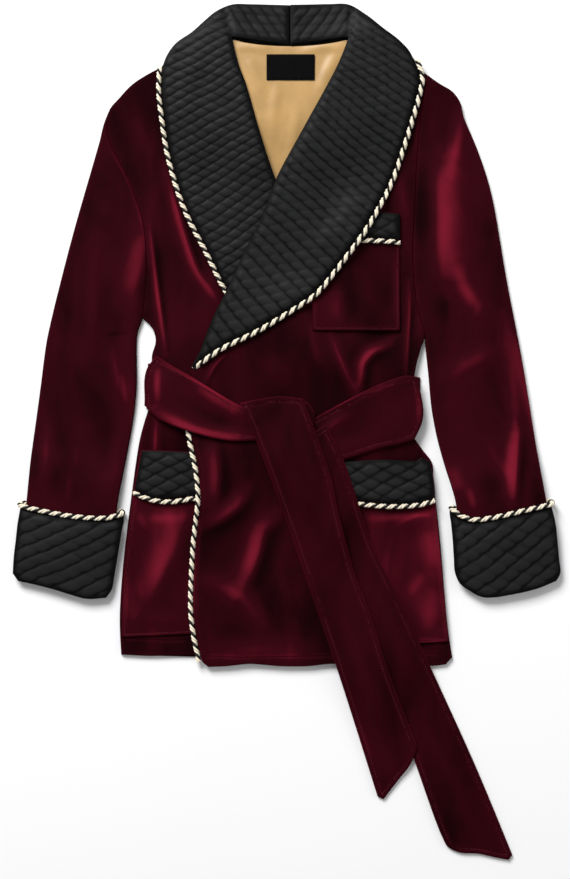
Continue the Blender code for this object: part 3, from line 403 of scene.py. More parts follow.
class JacketSizes(bpy.types.PropertyGroup):
    """Sizes of the cloth, the quilting, the cord and the sewing."""

    velvet_wall: FloatProperty(
        name="Velvet", description="Thickness of the velvet with its lining",
        default=0.0024, min=0.001, max=0.004, unit="LENGTH")
    patch_wall: FloatProperty(
        name="Pocket Patch", description="Thickness of a pocket patch",
        default=0.002, min=0.001, max=0.004, unit="LENGTH")
    belt_wall: FloatProperty(
        name="Belt", description="Thickness of the belt, velvet folded double",
        default=0.0042, min=0.002, max=0.008, unit="LENGTH")
    quilt_wall: FloatProperty(
        name="Quilted Satin", description="Thickness of the quilted satin at its stitches",
        default=0.0028, min=0.001, max=0.006, unit="LENGTH")
    satin_wall: FloatProperty(
        name="Lining", description="Thickness of the satin back lining",
        default=0.0012, min=0.0005, max=0.003, unit="LENGTH")
    label_wall: FloatProperty(
        name="Label", description="Thickness of the woven label",
        default=0.001, min=0.0004, max=0.002, unit="LENGTH")
    cord_radius: FloatProperty(
        name="Cord Radius", description="Radius of the twisted piping cord",
        default=0.0034, min=0.001, max=0.006, unit="LENGTH")
    cord_pitch: FloatProperty(
        name="Cord Twist", description="Length of one full turn of the cord's strands",
        default=0.0142, min=0.006, max=0.03, unit="LENGTH")
    stitch_length: FloatProperty(
        name="Stitch", description="Length of one stitch of the sewing that shows",
        default=0.0032, min=0.001, max=0.008, unit="LENGTH")
    quilt_steps: IntProperty(
        name="Quilting Steps", description="Mesh steps along each side of a quilted diamond",
        default=6, min=3, max=9)


class JacketColours(bpy.types.PropertyGroup):
    """Colours of the velvet, satin, cord, thread and floor."""

    # The velvet's three colours are the stops of a ramp from painted shade, through its body
    # colour, to painted highlight.
    velvet_shadow: FloatVectorProperty(
        name="Velvet Shadow", description="Velvet where its nap lies away from the light",
        default=(0.0062, 0.0004, 0.0011), min=0.0, max=1.0, subtype="COLOR")
    velvet_body: FloatVectorProperty(
        name="Velvet Body", description="Velvet between its dark and bright places",
        default=(0.030, 0.0015, 0.0042), min=0.0, max=1.0, subtype="COLOR")
    velvet_painted_highlight: FloatVectorProperty(
        name="Velvet Bright", description="Velvet where its nap catches the light",
        default=(0.16, 0.0075, 0.020), min=0.0, max=1.0, subtype="COLOR")
    velvet_sheen: FloatVectorProperty(
        name="Velvet Sheen", description="Tint of the velvet's sheen",
        default=(0.62, 0.025, 0.075), min=0.0, max=1.0, subtype="COLOR")
    satin: FloatVectorProperty(
        name="Black Satin", description="The quilted satin of collar, cuffs and pocket bands",
        default=(0.0134, 0.0136, 0.0140), min=0.0, max=1.0, subtype="COLOR")
    lining: FloatVectorProperty(
        name="Gold Lining", description="The satin lining inside the neck",
        default=(0.431, 0.261, 0.097), min=0.0, max=1.0, subtype="COLOR")
    label: FloatVectorProperty(
        name="Label", description="The bare woven label",
        default=(0.0012, 0.0012, 0.0014), min=0.0, max=1.0, subtype="COLOR")
    cream: FloatVectorProperty(
        name="Cream Strand", description="The cord's cream strand",
        default=(0.80, 0.72, 0.57), min=0.0, max=1.0, subtype="COLOR")
    black: FloatVectorProperty(
        name="Black Strand", description="The cord's black strand",
        default=(0.006, 0.006, 0.006), min=0.0, max=1.0, subtype="COLOR")
    thread: FloatVectorProperty(
        name="Wine Thread", description="The sewing thread on the velvet",
        default=(0.16, 0.016, 0.034), min=0.0, max=1.0, subtype="COLOR")
    floor: FloatVectorProperty(
        name="Floor", description="The plain pale floor",
        default=(0.91, 0.91, 0.92), min=0.0, max=1.0, subtype="COLOR")


def sizes():
    return bpy.context.scene.jacket_sizes


def colours():
    return bpy.context.scene.jacket_colours


# Outlines and lines

def plan(points):
    """Points as rows of numbers."""
    return np.array([list(point) for point in points])


def edge_distance(loop, points):
    """How far each point lies inside the outline; negative outside it."""
    points = np.asarray(points, dtype=float)
    nearest = np.full(len(points), 1e9)
    inside = np.zeros(len(points), dtype=bool)
    for start, end in zip(loop, loop[1:] + loop[:1]):
        a = np.array(start)
        run = np.array(end) - a
        along = np.clip((points - a) @ run / (run @ run), 0.0, 1.0)
        away = points - a - along[:, None] * run
        nearest = np.minimum(nearest, np.einsum("ij,ij->i", away, away))
        if run[1]:
            crosses = (start.y > points[:, 1]) != (end.y > points[:, 1])
            inside ^= crosses & (points[:, 0] < a[0] + (points[:, 1] - a[1]) * run[0] / run[1])
    nearest = np.sqrt(nearest)
    return np.where(inside, nearest, -nearest)


def line_distance(line, points):
    """How far each point lies from an open line, negative on the side towards the light, and its
    place along the line from 0 to 1."""
    nearest = np.full(len(points), 1e18)
    place = np.zeros(len(points))
    side = np.ones(len(points))
    whole = line[-1] - line[0]
    left_shaded = 1.0 if np.array((-whole[1], whole[0])) @ SHADED_WAY > 0 else -1.0
    for index, (start, end) in enumerate(zip(line, line[1:])):
        a = np.array(start)
        run = np.array(end) - a
        along = np.clip((points - a) @ run / (run @ run), 0.0, 1.0)
        away = points - a - along[:, None] * run
        square = np.einsum("ij,ij->i", away, away)
        closer = square < nearest
        nearest = np.where(closer, square, nearest)
        place = np.where(closer, (index + along) / (len(line) - 1), place)
        left = away @ np.array((-run[1], run[0])) > 0
        side = np.where(closer, np.where(left, left_shaded, -left_shaded), side)
    return np.sqrt(nearest) * side, place


def inset(loop, distance):
    """The outline moved inwards, square to its edges."""
    moved = []
    for index, point in enumerate(loop):
        into = (point - loop[index - 1]).normalized()
        out = (loop[(index + 1) % len(loop)] - point).normalized()
        inward = Vector((-into.y - out.y, into.x + out.x))
        inward.normalize()
        lean = max(0.5, inward.dot(Vector((-into.y, into.x))))
        moved.append(point + inward * distance / lean)
    return moved


def beside(line, distance):
    """An open line moved sideways, square to its run."""
    moved = []
    for index, point in enumerate(line):
        ahead = (line[min(index + 1, len(line) - 1)] - line[max(index - 1, 0)]).normalized()
        moved.append(point + Vector((-ahead.y, ahead.x)) * distance)
    return moved


def rounded_outline(loop, step):
    """The outline redrawn in smooth curves that keep its corners."""
    count = len(loop)
    headings = []
    for index, point in enumerate(loop):
        into = point - loop[index - 1]
        out = loop[(index + 1) % count] - point
        if into.angle(out) > CORNER:
            headings.append(None)
        else:
            headings.append((into.normalized() * out.length
                             + out.normalized() * into.length).normalized())
    drawn = []
    for index, start in enumerate(loop):
        after = (index + 1) % count
        run = loop[after] - start
        leave = headings[index] * run.length if headings[index] else run
        arrive = headings[after] * run.length if headings[after] else run
        pieces = max(1, round(run.length / step))
        for piece in range(pieces):
            t = piece / pieces
            drawn.append((2 * t ** 3 - 3 * t ** 2 + 1) * start + (t ** 3 - 2 * t ** 2 + t) * leave
                         + (3 * t ** 2 - 2 * t ** 3) * loop[after] + (t ** 3 - t ** 2) * arrive)
    return drawn


def smooth_line(rows, step):
    """Points about a step apart on a smooth open curve through the rows."""
    points = [Vector(row) for row in rows]
    line = [points[0]]
    for index in range(len(points) - 1):
        start, end = points[index], points[index + 1]
        before = points[index - 1] if index else start
        after = points[index + 2] if index + 2 < len(points) else end
        pieces = max(1, round((end - start).length / step))
        for piece in range(1, pieces + 1):
            t = piece / pieces
            line.append(0.5 * (2 * start + (end - before) * t
                               + (2 * before - 5 * start + 4 * end - after) * t ** 2
                               + (3 * start - before - 3 * end + after) * t ** 3))
    return line


# What the frame says about a piece

def cad_form(node):
    """A CAD piece's outline in millimetres, and a search tree of its lower faces."""
    shape = bmesh.new()
    shape.from_mesh(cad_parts[node].data)
    bmesh.ops.remove_doubles(shape, verts=shape.verts, dist=WELD)
    shape.normal_update()
    walls = {face for face in shape.faces if abs(face.normal.z) <= UPRIGHT}
    steps = {}
    for face in shape.faces:
        if face.normal.z > UPRIGHT:
            for corner in face.loops:
                if any(other in walls for other in corner.edge.link_faces):
                    steps[corner.vert] = corner.link_loop_next.vert
    start = next(iter(steps))
    walk = [start]
    while steps[walk[-1]] is not start:
        walk.append(steps[walk[-1]])
    if len(walk) < len(steps) * WHOLE_RIM:
        raise RuntimeError("the outline of " + node + " isn't one loop")
    loop = [Vector(vert.co.xy) / MM for vert in walk]
    shape.verts.index_update()
    lower = [[vert.index for vert in face.verts] for face in shape.faces
             if -face.normal.z > UPRIGHT]
    tree = BVHTree.FromPolygons([vert.co / MM for vert in shape.verts], lower)
    shape.free()
    return loop, tree


def height_at(tree, x, y):
    """The height of a searched surface at a point, or beside it where it doesn't reach there."""
    place = tree.ray_cast(Vector((x, y, ABOVE_ALL)), Vector((0.0, 0.0, -1.0)))[0]
    if place is None:
        place = tree.find_nearest(Vector((x, y, NEAR_THE_TOP)))[0]
    return place.z


class Underside:
    """The height of a piece's underside, softened as cloth settles over what is below it."""

    def __init__(self, tree, loop):
        points = plan(loop)
        self.low = points.min(0) - 2 * GRID
        size = np.ceil((points.max(0) - self.low) / GRID).astype(int) + 3
        axes = [self.low[axis] + GRID * np.arange(size[axis]) for axis in (0, 1)]
        spots = np.stack(np.meshgrid(*axes, indexing="ij"), -1).reshape(-1, 2)
        near = edge_distance(loop, spots) > -1.5 * GRID
        heights = np.zeros(len(spots))
        for index in np.flatnonzero(near):
            heights[index] = height_at(tree, *spots[index])
        solid = heights.reshape(size)
        weight = near.reshape(size).astype(float)
        self.height = solid
        if solid.max() > FLAT_ON_FLOOR:
            self.soften(weight, SOFTENED_BEFORE)
            for _ in range(SETTLE_ROUNDS):
                self.soften(weight, 1)
                self.height = np.maximum(self.height, solid - SETTLE_SINK)
            self.soften(weight, SOFTENED_AFTER)

    def soften(self, weight, rounds):
        """Make each cell the mean of itself and its neighbours."""
        for _ in range(rounds):
            total = self.height * weight
            summed, count = total.copy(), weight.copy()
            for axis in (0, 1):
                for shift in (-1, 1):
                    summed += np.roll(total, shift, axis)
                    count += np.roll(weight, shift, axis)
            self.height = np.where(count > 0, summed / np.maximum(count, 1e-9), 0.0)

    def at(self, spots):
        """Heights at points, between the cells around each."""
        place = (spots - self.low) / GRID
        cell = np.floor(place).astype(int)
        cell = np.clip(cell, 0, np.array(self.height.shape) - 2)
        part = place - cell
        i, j = cell[:, 0], cell[:, 1]
        u, v = part[:, 0], part[:, 1]
        return (self.height[i, j] * (1 - u) * (1 - v) + self.height[i + 1, j] * u * (1 - v)
                + self.height[i, j + 1] * (1 - u) * v + self.height[i + 1, j + 1] * u * v)


def piece_form(node, step):
    """A piece's smooth outline and its settled underside."""
    loop, lower = cad_form(node)
    return rounded_outline(loop, step), Underside(lower, loop)


# Creases, grooves and quilting

def crease_effect(node, spots):
    """How far the cloth stands up in its creases, and the highlight and shade painted into its nap
    colour there.
    """
    lift = np.zeros(len(spots))
    painted_glow = np.zeros(len(spots))
    for half_width, height, light, sharp, *points in CREASES.get(node, ()):
        line = smooth_line(points, max(CREASE_STEP, half_width))
        away, place = line_distance(line, spots)
        across = away / half_width
        fade = np.sin(np.pi * np.clip(place, CREASE_ENDS, 1 - CREASE_ENDS)) ** CREASE_FADE
        lift += height * fade * np.clip(1 - (across / CREASE_REACH) ** 2, 0.0, 1.0) ** 2
        # A crisp crease gets a painted highlight with painted shade beyond its crisp side; a soft
        # one gets a painted highlight that fades both ways.
        if sharp:
            beyond = across * sharp
            dark, where, width = PAINTED_SHADE_EDGE
            shine = np.exp(-(across / np.where(beyond > 0, CRISP_SIDE, SOFT_SIDE)) ** 2)
            shine -= dark * np.exp(-((beyond - where) / width) ** 2)
        else:
            shine = sum(bright * np.exp(-(across / width) ** 2) for bright, width in SOFT_PAINTED_SHINE)
        painted_glow += light * fade * shine
    return lift, painted_glow


def waver(spots):
    """The small wandering of hand-guided quilting lines."""
    moved = np.zeros((len(spots), 2))
    for way, far, across, up, phase in WANDER:
        wave = np.full(len(spots), phase)
        if across:
            wave += spots[:, 0] / across
        if up:
            wave += spots[:, 1] / up
        moved[:, way] += far * np.sin(wave)
    return moved


def quilt_lattice(quilt, loop, steps, margin):
    """Mesh points that lie along the stitch lines and evenly between them."""
    turn = math.radians(quilt.turn)
    reach = max((a - b).length for a in loop[::7] for b in loop[::7])
    box = plan(loop)
    centre = np.array([sum(p.x for p in loop), sum(p.y for p in loop)]) / len(loop)
    anchor = np.round(centre)
    count = int(reach / quilt.width) + 2
    ticks = np.arange(-count * steps, count * steps + 1) / steps
    strong, faint = [part.ravel() for part in np.meshgrid(ticks, ticks, indexing="ij")]
    strong = strong - quilt.lean * SCALLOP * np.abs(np.sin(np.pi * faint))
    strong = strong / (1 + quilt.fan * faint)
    x = (strong + faint) / 2 * quilt.length
    y = quilt.lean * (strong - faint) / 2 * quilt.width
    spots = anchor + np.stack((x * math.cos(turn) - y * math.sin(turn),
                               x * math.sin(turn) + y * math.cos(turn)), 1)
    spots = spots[np.all((spots > box.min(0)) & (spots < box.max(0)), 1)]
    spots = spots + waver(spots)
    return spots[edge_distance(loop, spots) > margin], anchor


def pillow(quilt, anchor, spots):
    """The height of the quilting at points: 0 on the stitch lines and 1 at a diamond's crest."""
    turn = math.radians(quilt.turn)
    spots = spots - waver(spots) - anchor
    x = spots[:, 0] * math.cos(turn) + spots[:, 1] * math.sin(turn)
    y = -spots[:, 0] * math.sin(turn) + spots[:, 1] * math.cos(turn)
    faint_line = x / quilt.length - quilt.lean * y / quilt.width
    strong_line = x / quilt.length + quilt.lean * y / quilt.width
    strong_line = strong_line * (1 + quilt.fan * faint_line)
    strong_line += quilt.lean * SCALLOP * np.abs(np.sin(np.pi * faint_line))
    rise = []
    for value in (strong_line, faint_line):
        from_stitch = 2 * np.abs(value - np.round(value))
        rise.append(1 - (1 - from_stitch) ** PUFF_ROUNDING)
    strong, faint = rise
    faint = quilt.faint + (1 - quilt.faint) * faint
    column, row, spread = SCATTER
    cell = np.sin(np.floor(strong_line) * column + np.floor(faint_line) * row) * spread
    uneven = PUFF_LEAST + PUFF_SPREAD * (cell - np.floor(cell))
    return (strong * faint) ** PUFF_FLATNESS * uneven


# Shells of cloth

def even_points(loop, spacing, margin):
    """A triangular lattice over the outline's inside."""
    row_height = spacing * math.sqrt(3) / 2
    low, high = plan(loop).min(0), plan(loop).max(0)
    rows = np.arange(int((high[1] - low[1]) / row_height) + 1)
    columns = np.arange(int((high[0] - low[0]) / spacing) + 1)
    row, column = [part.ravel() for part in np.meshgrid(rows, columns, indexing="ij")]
    shift = np.where(row % 2, 0.25, 0.75)
    spots = np.stack((low[0] + (column + shift) * spacing, low[1] + (row + 0.5) * row_height), 1)
    return spots[edge_distance(loop, spots) > margin]


def groove_points(groove, loop):
    """The groove's own line and one along each side of it, kept inside the outline."""
    lines = []
    for way in (-1, 0, 1):
        line = beside(groove.line, way * groove.half_width)
        kept = edge_distance(loop, plan(line)) > groove.half_width
        lines.append([point for point, inside in zip(line, kept) if inside])
    return lines


def follow_creases(node, loop, lattice, margin, spacing):
    """The lattice with its points beside narrow creases replaced by rows along them."""
    rows = []
    for half_width, _, _, _, *points in CREASES.get(node, ()):
        if half_width < NARROW_CREASE:
            line = smooth_line(points, FOLLOWED_STEP)
            for way in FOLLOWED_ROWS:
                rows += beside(line, way * half_width)
            away, _ = line_distance(line, lattice)
            lattice = lattice[np.abs(away) > half_width + CREASE_ROOM * spacing]
    if not rows:
        return lattice
    spots = plan(rows)
    return np.vstack((lattice, spots[edge_distance(loop, spots) > margin]))


def shell_points(loop, wall, grooves, lattice, spacing):
    """All the points of a shell's plan, and the edges that its mesh has to keep."""
    rings = [loop] + [inset(loop, wall / 2 * share) for share in RIM_RINGS]
    points, edges = [], []
    for ring in rings:
        first = len(points)
        points += ring
        edges += [(first + i, first + (i + 1) % len(ring)) for i in range(len(ring))]
    kept = np.ones(len(lattice), dtype=bool)
    for groove in grooves:
        for line in groove_points(groove, loop):
            if len(line) < 2:
                continue
            first = len(points)
            points += line
            edges += [(first + i, first + i + 1) for i in range(len(line) - 1)
                      if (line[i + 1] - line[i]).length < 4 * spacing]
        away, _ = line_distance(groove.line, lattice)
        kept &= np.abs(away) > groove.half_width + GROOVE_ROOM * spacing
    points += [Vector(spot) for spot in lattice[kept]]
    return points, edges


def new_mesh(name, corners, faces, smooth=True):
    mesh = bpy.data.meshes.new(name)
    mesh.from_pydata(corners, [], faces)
    mesh.update()
    mesh.polygons.foreach_set("use_smooth", np.full(len(faces), smooth))
    return mesh


def rim_curve(loop, wall, spots):
    """How full a shell is at points: 0 at its rim, and 1 from half its wall inside it."""
    deep = np.clip(edge_distance(loop, spots) / (wall / 2), 0.0, 1.0)
    return np.sqrt(1 - (1 - deep) ** 2)


def closed_shell(name, loop, points, edges, top_of, bottom_of, mid_of):
    """A closed mesh between an upper and a lower surface that share their rim."""
    flat, _, faces, sources, _, _ = delaunay_2d_cdt(points, edges, [], 1, SAME_POINT)
    spots = plan(flat)
    count = len(spots)
    rim = np.array([any(original < len(loop) for original in source) for source in sources])
    top = np.where(rim, mid_of(spots), top_of(spots))
    bottom = bottom_of(spots)
    lower = np.arange(count)
    lower[~rim] = count + np.arange(int((~rim).sum()))
    corners = np.vstack((np.column_stack((spots, top)),
                         np.column_stack((spots, bottom))[~rim])) * MM
    triangles = np.array([face for face in faces if len(face) == 3])
    a, b, c = (spots[triangles[:, corner]] for corner in range(3))
    turned = ((b - a)[:, 0] * (c - a)[:, 1] - (b - a)[:, 1] * (c - a)[:, 0]) < 0
    triangles[turned] = triangles[turned][:, ::-1]
    under = lower[triangles][:, ::-1]
    mesh = new_mesh(name, corners.tolist(), np.vstack((triangles, under)).tolist())
    return mesh, spots, ~rim


def point_values(mesh, name, upper, inner, under):
    """Give a shell's mesh one value a point: its own on top and the same all over below."""
    values = np.concatenate((upper, np.full(int(inner.sum()), under)))
    mesh.attributes.new(name, "FLOAT", "POINT").data.foreach_set(
        "value", values.astype(np.float32))


def finish_piece(name, mesh, materials, nodes):
    """A finished piece at the origin, riding on the jacket in place of its CAD nodes."""
    piece = bpy.data.objects.new(name, mesh)
    for material in materials:
        mesh.materials.append(material)
    bpy.context.scene.collection.objects.link(piece)
    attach(piece, "root")
    if nodes:
        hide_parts(*nodes)
    return piece


def sewn_grooves(node, loop):
    """The seams and the stitched edge of a velvet piece."""
    row = VELVET_PIECES[node]
    grooves = [Groove(smooth_line(line, row.spacing), SEAM_WIDTH, SEAM_DEPTH)
               for line in SEAMS.get(node, ())]
    if row.stitched:
        line = inset(loop, row.stitched)
        grooves.append(Groove(line + [line[0]], STITCHED_WIDTH, STITCHED_DEPTH))
    return grooves


def nap_and_painted_light(node, loop, grooves, spots):
    """How bright a velvet piece's nap colour is at points: its painted tone, with the painted
    highlights and shade of its creases, sewn lines and edges.
    """
    row = VELVET_PIECES[node]
    painted_glow = row.tone + crease_effect(node, spots)[1]
    bright, beyond, width = SEWN_PAINTED_HIGHLIGHT
    dark, dark_width = SEWN_PAINTED_SHADE
    # A painted highlight beside each sewn line and painted shade in the line itself.
    for groove in grooves:
        away = np.abs(line_distance(groove.line, spots)[0])
        painted_glow += (bright * np.exp(-((away - beyond) / width) ** 2)
                 - dark * np.exp(-(away / dark_width) ** 2))
    # A painted highlight along the piece's edge, where light catches the rolled velvet.
    edge_painted_glow = FOLDED_PAINTED_HIGHLIGHT if row.held == "folded" else 0.0 if row.stitched else CUT_PAINTED_HIGHLIGHT
    return painted_glow + edge_painted_glow * np.clip(1 - edge_distance(loop, spots) / EDGE_PAINTED_HIGHLIGHT_WIDTH, 0.0, 1.0)


def velvet_piece(node):
    """One piece of velvet: its creases, sewn lines, rolled rim and nap colour, with its painted
    highlights and shade.
    """
    row = VELVET_PIECES[node]
    wall = getattr(sizes(), row.wall) / MM
    loop, underside = piece_form(node, row.spacing)
    on_floor = node == "back" or node.endswith("_under")
    if on_floor:
        loop = inset(loop, -SEAM_TURNING)
    grooves = sewn_grooves(node, loop)
    margin = wall / 2 + EDGE_ROOM * row.spacing
    lattice = follow_creases(node, loop, even_points(loop, row.spacing, margin), margin,
                             row.spacing)
    points, edges = shell_points(loop, wall, grooves, lattice, row.spacing)

    def middle(spots):
        lift = 0.0 if on_floor else np.maximum(crease_effect(node, spots)[0], 0.0)
        return underside.at(spots) + wall / 2 + lift

    def pressed(spots):
        depth = np.zeros(len(spots))
        for groove in grooves:
            away, _ = line_distance(groove.line, spots)
            depth = np.maximum(depth, groove.depth * np.exp(-(away / groove.half_width) ** 2))
        if row.stitched:
            depth -= STITCHED_RIM * (edge_distance(loop, spots) < row.stitched)
        return depth

    def top(spots):
        trough = np.minimum(crease_effect(node, spots)[0], 0.0)
        trough = np.maximum(trough, PRESSED_VELVET - wall / 2)
        depth = 0.0 if on_floor else pressed(spots)
        return middle(spots) + (wall / 2 + trough - depth) * rim_curve(loop, wall, spots)

    def bottom(spots):
        depth = pressed(spots) if on_floor else 0.0
        return middle(spots) + (depth - wall / 2) * rim_curve(loop, wall, spots)

    mesh, spots, inner = closed_shell(node, loop, points, edges, top, bottom, middle)
    # The "nap" attribute holds painted light: the piece's painted tone and the painted highlights
    # and shade along its creases, sewn lines and edges.
    point_values(mesh, "nap", nap_and_painted_light(node, loop, grooves, spots), inner, row.tone)
    piece = finish_piece(node + "_cloth", mesh, [wine_velvet()], [node])
    return grooves, top


def in_stand(spots):
    """Which points lie in the collar's stand."""
    return ((spots[:, 1] > STAND_FOOT) & (spots[:, 0] > STAND_SIDES[0])
            & (spots[:, 0] < STAND_SIDES[1]))


def quilted_piece(node, quilt, stand=None, under=False):
    """One piece of quilted satin, puffed between its stitch lines."""
    wall = sizes().quilt_wall / MM
    steps = sizes().quilt_steps
    margin = wall / 2 + QUILT_RIM_ROOM
    loop, underside = piece_form(node, QUILT_OUTLINE_STEP)
    lattice, anchor = quilt_lattice(quilt, loop, steps, margin)
    if stand:
        upper, stand_anchor = quilt_lattice(stand, loop, steps, margin)
        lattice = np.vstack((lattice[~in_stand(lattice)], upper[in_stand(upper)]))
    points, edges = shell_points(loop, wall, (), lattice, QUILT_OUTLINE_STEP)

    def raised(spots):
        height = pillow(quilt, anchor, spots) * quilt.puff
        if stand:
            upper_height = pillow(stand, stand_anchor, spots) * stand.puff
            height = np.where(in_stand(spots), upper_height, height)
        start, width = QUILT_FADE
        return height * np.clip((edge_distance(loop, spots) - start) / width, 0.0, 1.0)

    def middle(spots):
        return underside.at(spots) + wall / 2

    def top(spots):
        lift = raised(spots) + crease_effect(node, spots)[0]
        thinner, width = THIN_EDGE
        thin = thinner * np.clip(1 - edge_distance(loop, spots) / width, 0.0, 1.0)
        return middle(spots) + (wall / 2 - thin + np.maximum(lift, PRESSED_WALL - wall / 2)
                                ) * rim_curve(loop, wall, spots)

    def bottom(spots):
        hollow = np.maximum(quilt.puff - raised(spots), 0.0) * HOLLOW_SHARE if under else 0.0
        return middle(spots) + (hollow - wall / 2) * rim_curve(loop, wall, spots)

    mesh, spots, inner = closed_shell(node, loop, points, edges, top, bottom, middle)
    # The "puff" attribute also sets the painted shade along the stitch lines.
    point_values(mesh, "puff", np.clip(raised(spots) / quilt.puff, 0.0, 1.0), inner, 0.5)
    piece = finish_piece(node + "_quilted", mesh, [black_satin()], [node])


def plain_piece(node, wall, spacing, material):
    """A thin plain piece, such as the lining or the label."""
    loop, underside = piece_form(node, spacing)
    lattice = even_points(loop, spacing, wall / 2 + EDGE_ROOM * spacing)
    points, edges = shell_points(loop, wall, (), lattice, spacing)

    def middle(spots):
        return underside.at(spots) + wall / 2 + np.maximum(crease_effect(node, spots)[0], 0.0)

    def top(spots):
        return middle(spots) + wall / 2 * rim_curve(loop, wall, spots)

    def bottom(spots):
        return middle(spots) - wall / 2 * rim_curve(loop, wall, spots)

    mesh, _, _ = closed_shell(node, loop, points, edges, top, bottom, middle)
    piece = finish_piece(node + "_cloth", mesh, [material], [node])


# Cords

def even_route(route, step, ring=False):
    """The route in equal steps."""
    points = route + route[:1] if ring else route
    lengths = np.array([0.0] + [(b - a).length for a, b in zip(points, points[1:])]).cumsum()
    count = max(8, int(lengths[-1] / step))
    ticks = np.linspace(0.0, lengths[-1], count + 1)
    even = np.stack([np.interp(ticks, lengths, column) for column in plan(points).T], 1)
    return even[:-1] if ring else even


def softened_route(route, ring):
    """The route with its bends eased; the ends of an open one stay where they are."""
    for _ in range(CORD_SOFTENED):
        middle = (np.roll(route, 1, 0) + 2 * route + np.roll(route, -1, 0)) / 4
        if not ring:
            middle[0], middle[-1] = route[0], route[-1]
        route = middle
    return route


def carried_sides(ahead):
    """A direction square to each heading of a route, carried along it without a twist."""
    carried = np.cross(ahead[0], (0.0, 0.0, 1.0))
    sideways = []
    for heading in ahead:
        carried = carried - heading * (carried @ heading)
        carried /= np.linalg.norm(carried)
        sideways.append(carried)
    return np.array(sideways)


def strand_faces(first, count, ring):
    """The faces round one strand of count rings of corners, and its two ends if it is open."""
    faces = []
    for side in range(STRAND_SIDES):
        here = first + side * count
        beyond = first + (side + 1) % STRAND_SIDES * count
        for index in range(count if ring else count - 1):
            onward = (index + 1) % count
            faces.append((here + index, beyond + index, beyond + onward, here + onward))
    if not ring:
        for index, order in ((0, range(STRAND_SIDES - 1, -1, -1)),
                             (count - 1, range(STRAND_SIDES))):
            faces.append([first + side * count + index for side in order])
    return faces


def twisted_cord(node, route, ring=False):
    """Two cream strands and one black strand laid round each other along a route."""
    radius = sizes().cord_radius / MM
    pitch = sizes().cord_pitch / MM
    route = softened_route(even_route(route, CORD_STEP, ring), ring)
    count = len(route)
    if ring:
        ahead = np.roll(route, -1, 0) - np.roll(route, 1, 0)
    else:
        ahead = np.gradient(route, axis=0)
    ahead /= np.linalg.norm(ahead, axis=1)[:, None]
    sideways = carried_sides(ahead)
    above = np.cross(sideways, ahead)
    turns = np.linalg.norm(np.diff(route, axis=0), axis=1).sum() / pitch
    turns = round(turns) if ring else turns
    phase = np.linspace(0.0, turns * 2 * math.pi, count, endpoint=not ring)
    corners, faces, slots = [], [], []
    for share, place_round, colour in STRANDS:
        angle = phase + math.radians(place_round)
        spoke = np.cos(angle)[:, None] * sideways + np.sin(angle)[:, None] * above
        centre = route + spoke * radius * (1 - share)
        across = np.cross(ahead, spoke)
        wound = strand_faces(len(corners), count, ring)
        faces += wound
        slots += [colour] * len(wound)
        for side in range(STRAND_SIDES):
            turn = 2 * math.pi * side / STRAND_SIDES
            outward = spoke * math.cos(turn) + across * math.sin(turn)
            corners += (centre + outward * radius * share).tolist()
    mesh = new_mesh(node, (np.array(corners) * MM).tolist(), faces)
    mesh.polygons.foreach_set("material_index", np.array(slots, dtype=np.int32))
    materials = [strand_material("cream_strand", colours().cream),
                 strand_material("black_strand", colours().black)]
    finish_piece(node + "_twist", mesh, materials, [node])


def resting_route(node, rows):
    """A cord's route through its rows, at the height of its CAD cord."""
    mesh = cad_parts[node].data
    upper = BVHTree.FromPolygons([corner.co / MM for corner in mesh.vertices],
                                 [list(face.vertices) for face in mesh.polygons])
    radius = sizes().cord_radius / MM
    return [Vector((p.x, p.y, max(radius, height_at(upper, p.x, p.y) - radius)))
            for p in smooth_line(rows, ROUTE_STEP)]


def cuff_route(node, rows):
    """A cuff's cord: over the sleeve, round its edge and back under it."""
    radius = sizes().cord_radius / MM
    swing = Vector((CUFF_CORD_SWING, 0.0, 0.0))
    over = resting_route(node, rows)
    below = [Vector((p.x, p.y + CUFF_BACK_RISE, radius)) for p in reversed(over)]
    return (over + [(over[-1] + below[0]) / 2 + swing]
            + below + [(below[-1] + over[0]) / 2 - swing])


# Sewing

def stitch_row(line, top):
    """Stitches of thread along a line on a surface: a spindle of eight faces for each."""
    length = sizes().stitch_length / MM
    even = even_route([point.to_3d() for point in line], length * (1 + STITCH_GAP))
    middles = (even[:-1] + even[1:]) / 2
    headings = even[1:] - even[:-1]
    headings /= np.linalg.norm(headings, axis=1)[:, None]
    up = np.array((0.0, 0.0, STITCH_RADIUS))
    spindles = []
    for middle, heading, height in zip(middles, headings, top(middles[:, :2])):
        centre = np.array((middle[0], middle[1], height)) + up * STITCH_RISE
        half = heading * length / 2
        side = np.array((-heading[1], heading[0], 0.0)) * STITCH_RADIUS
        spindles.append((centre - half, centre + side, centre + up, centre - side, centre - up,
                         centre + half))
    return spindles


def sewn_velvet(node):
    """A velvet piece; gives the stitches along its sewn lines."""
    grooves, top = velvet_piece(node)
    return [spindle for groove in grooves for spindle in stitch_row(groove.line, top)]


def sew(name, spindles):
    """One object of all the stitches of a kind."""
    corners = [list(corner * MM) for spindle in spindles for corner in spindle]
    faces = [tuple(6 * number + corner for corner in face)
             for number in range(len(spindles)) for face in SPINDLE]
    finish_piece(name, new_mesh(name, corners, faces, smooth=False), [thread_material()],
                 [])


# Materials

def place(tree, kind, x, y, values=(), **settings):
    """A node at a place on the sheet, with its input values and its settings."""
    node = tree.nodes.new(kind)
    node.location = (x, y)
    for key, value in dict(values, **settings).items():
        if key in node.inputs:
            node.inputs[key].default_value = value
        else:
            setattr(node, key, value)
    return node


def wire(tree, *links):
    """Link nodes: each link is a node and its output, and then a node and its input."""
    for source, output, target, into in links:
        tree.links.new(source.outputs[output], target.inputs[into])


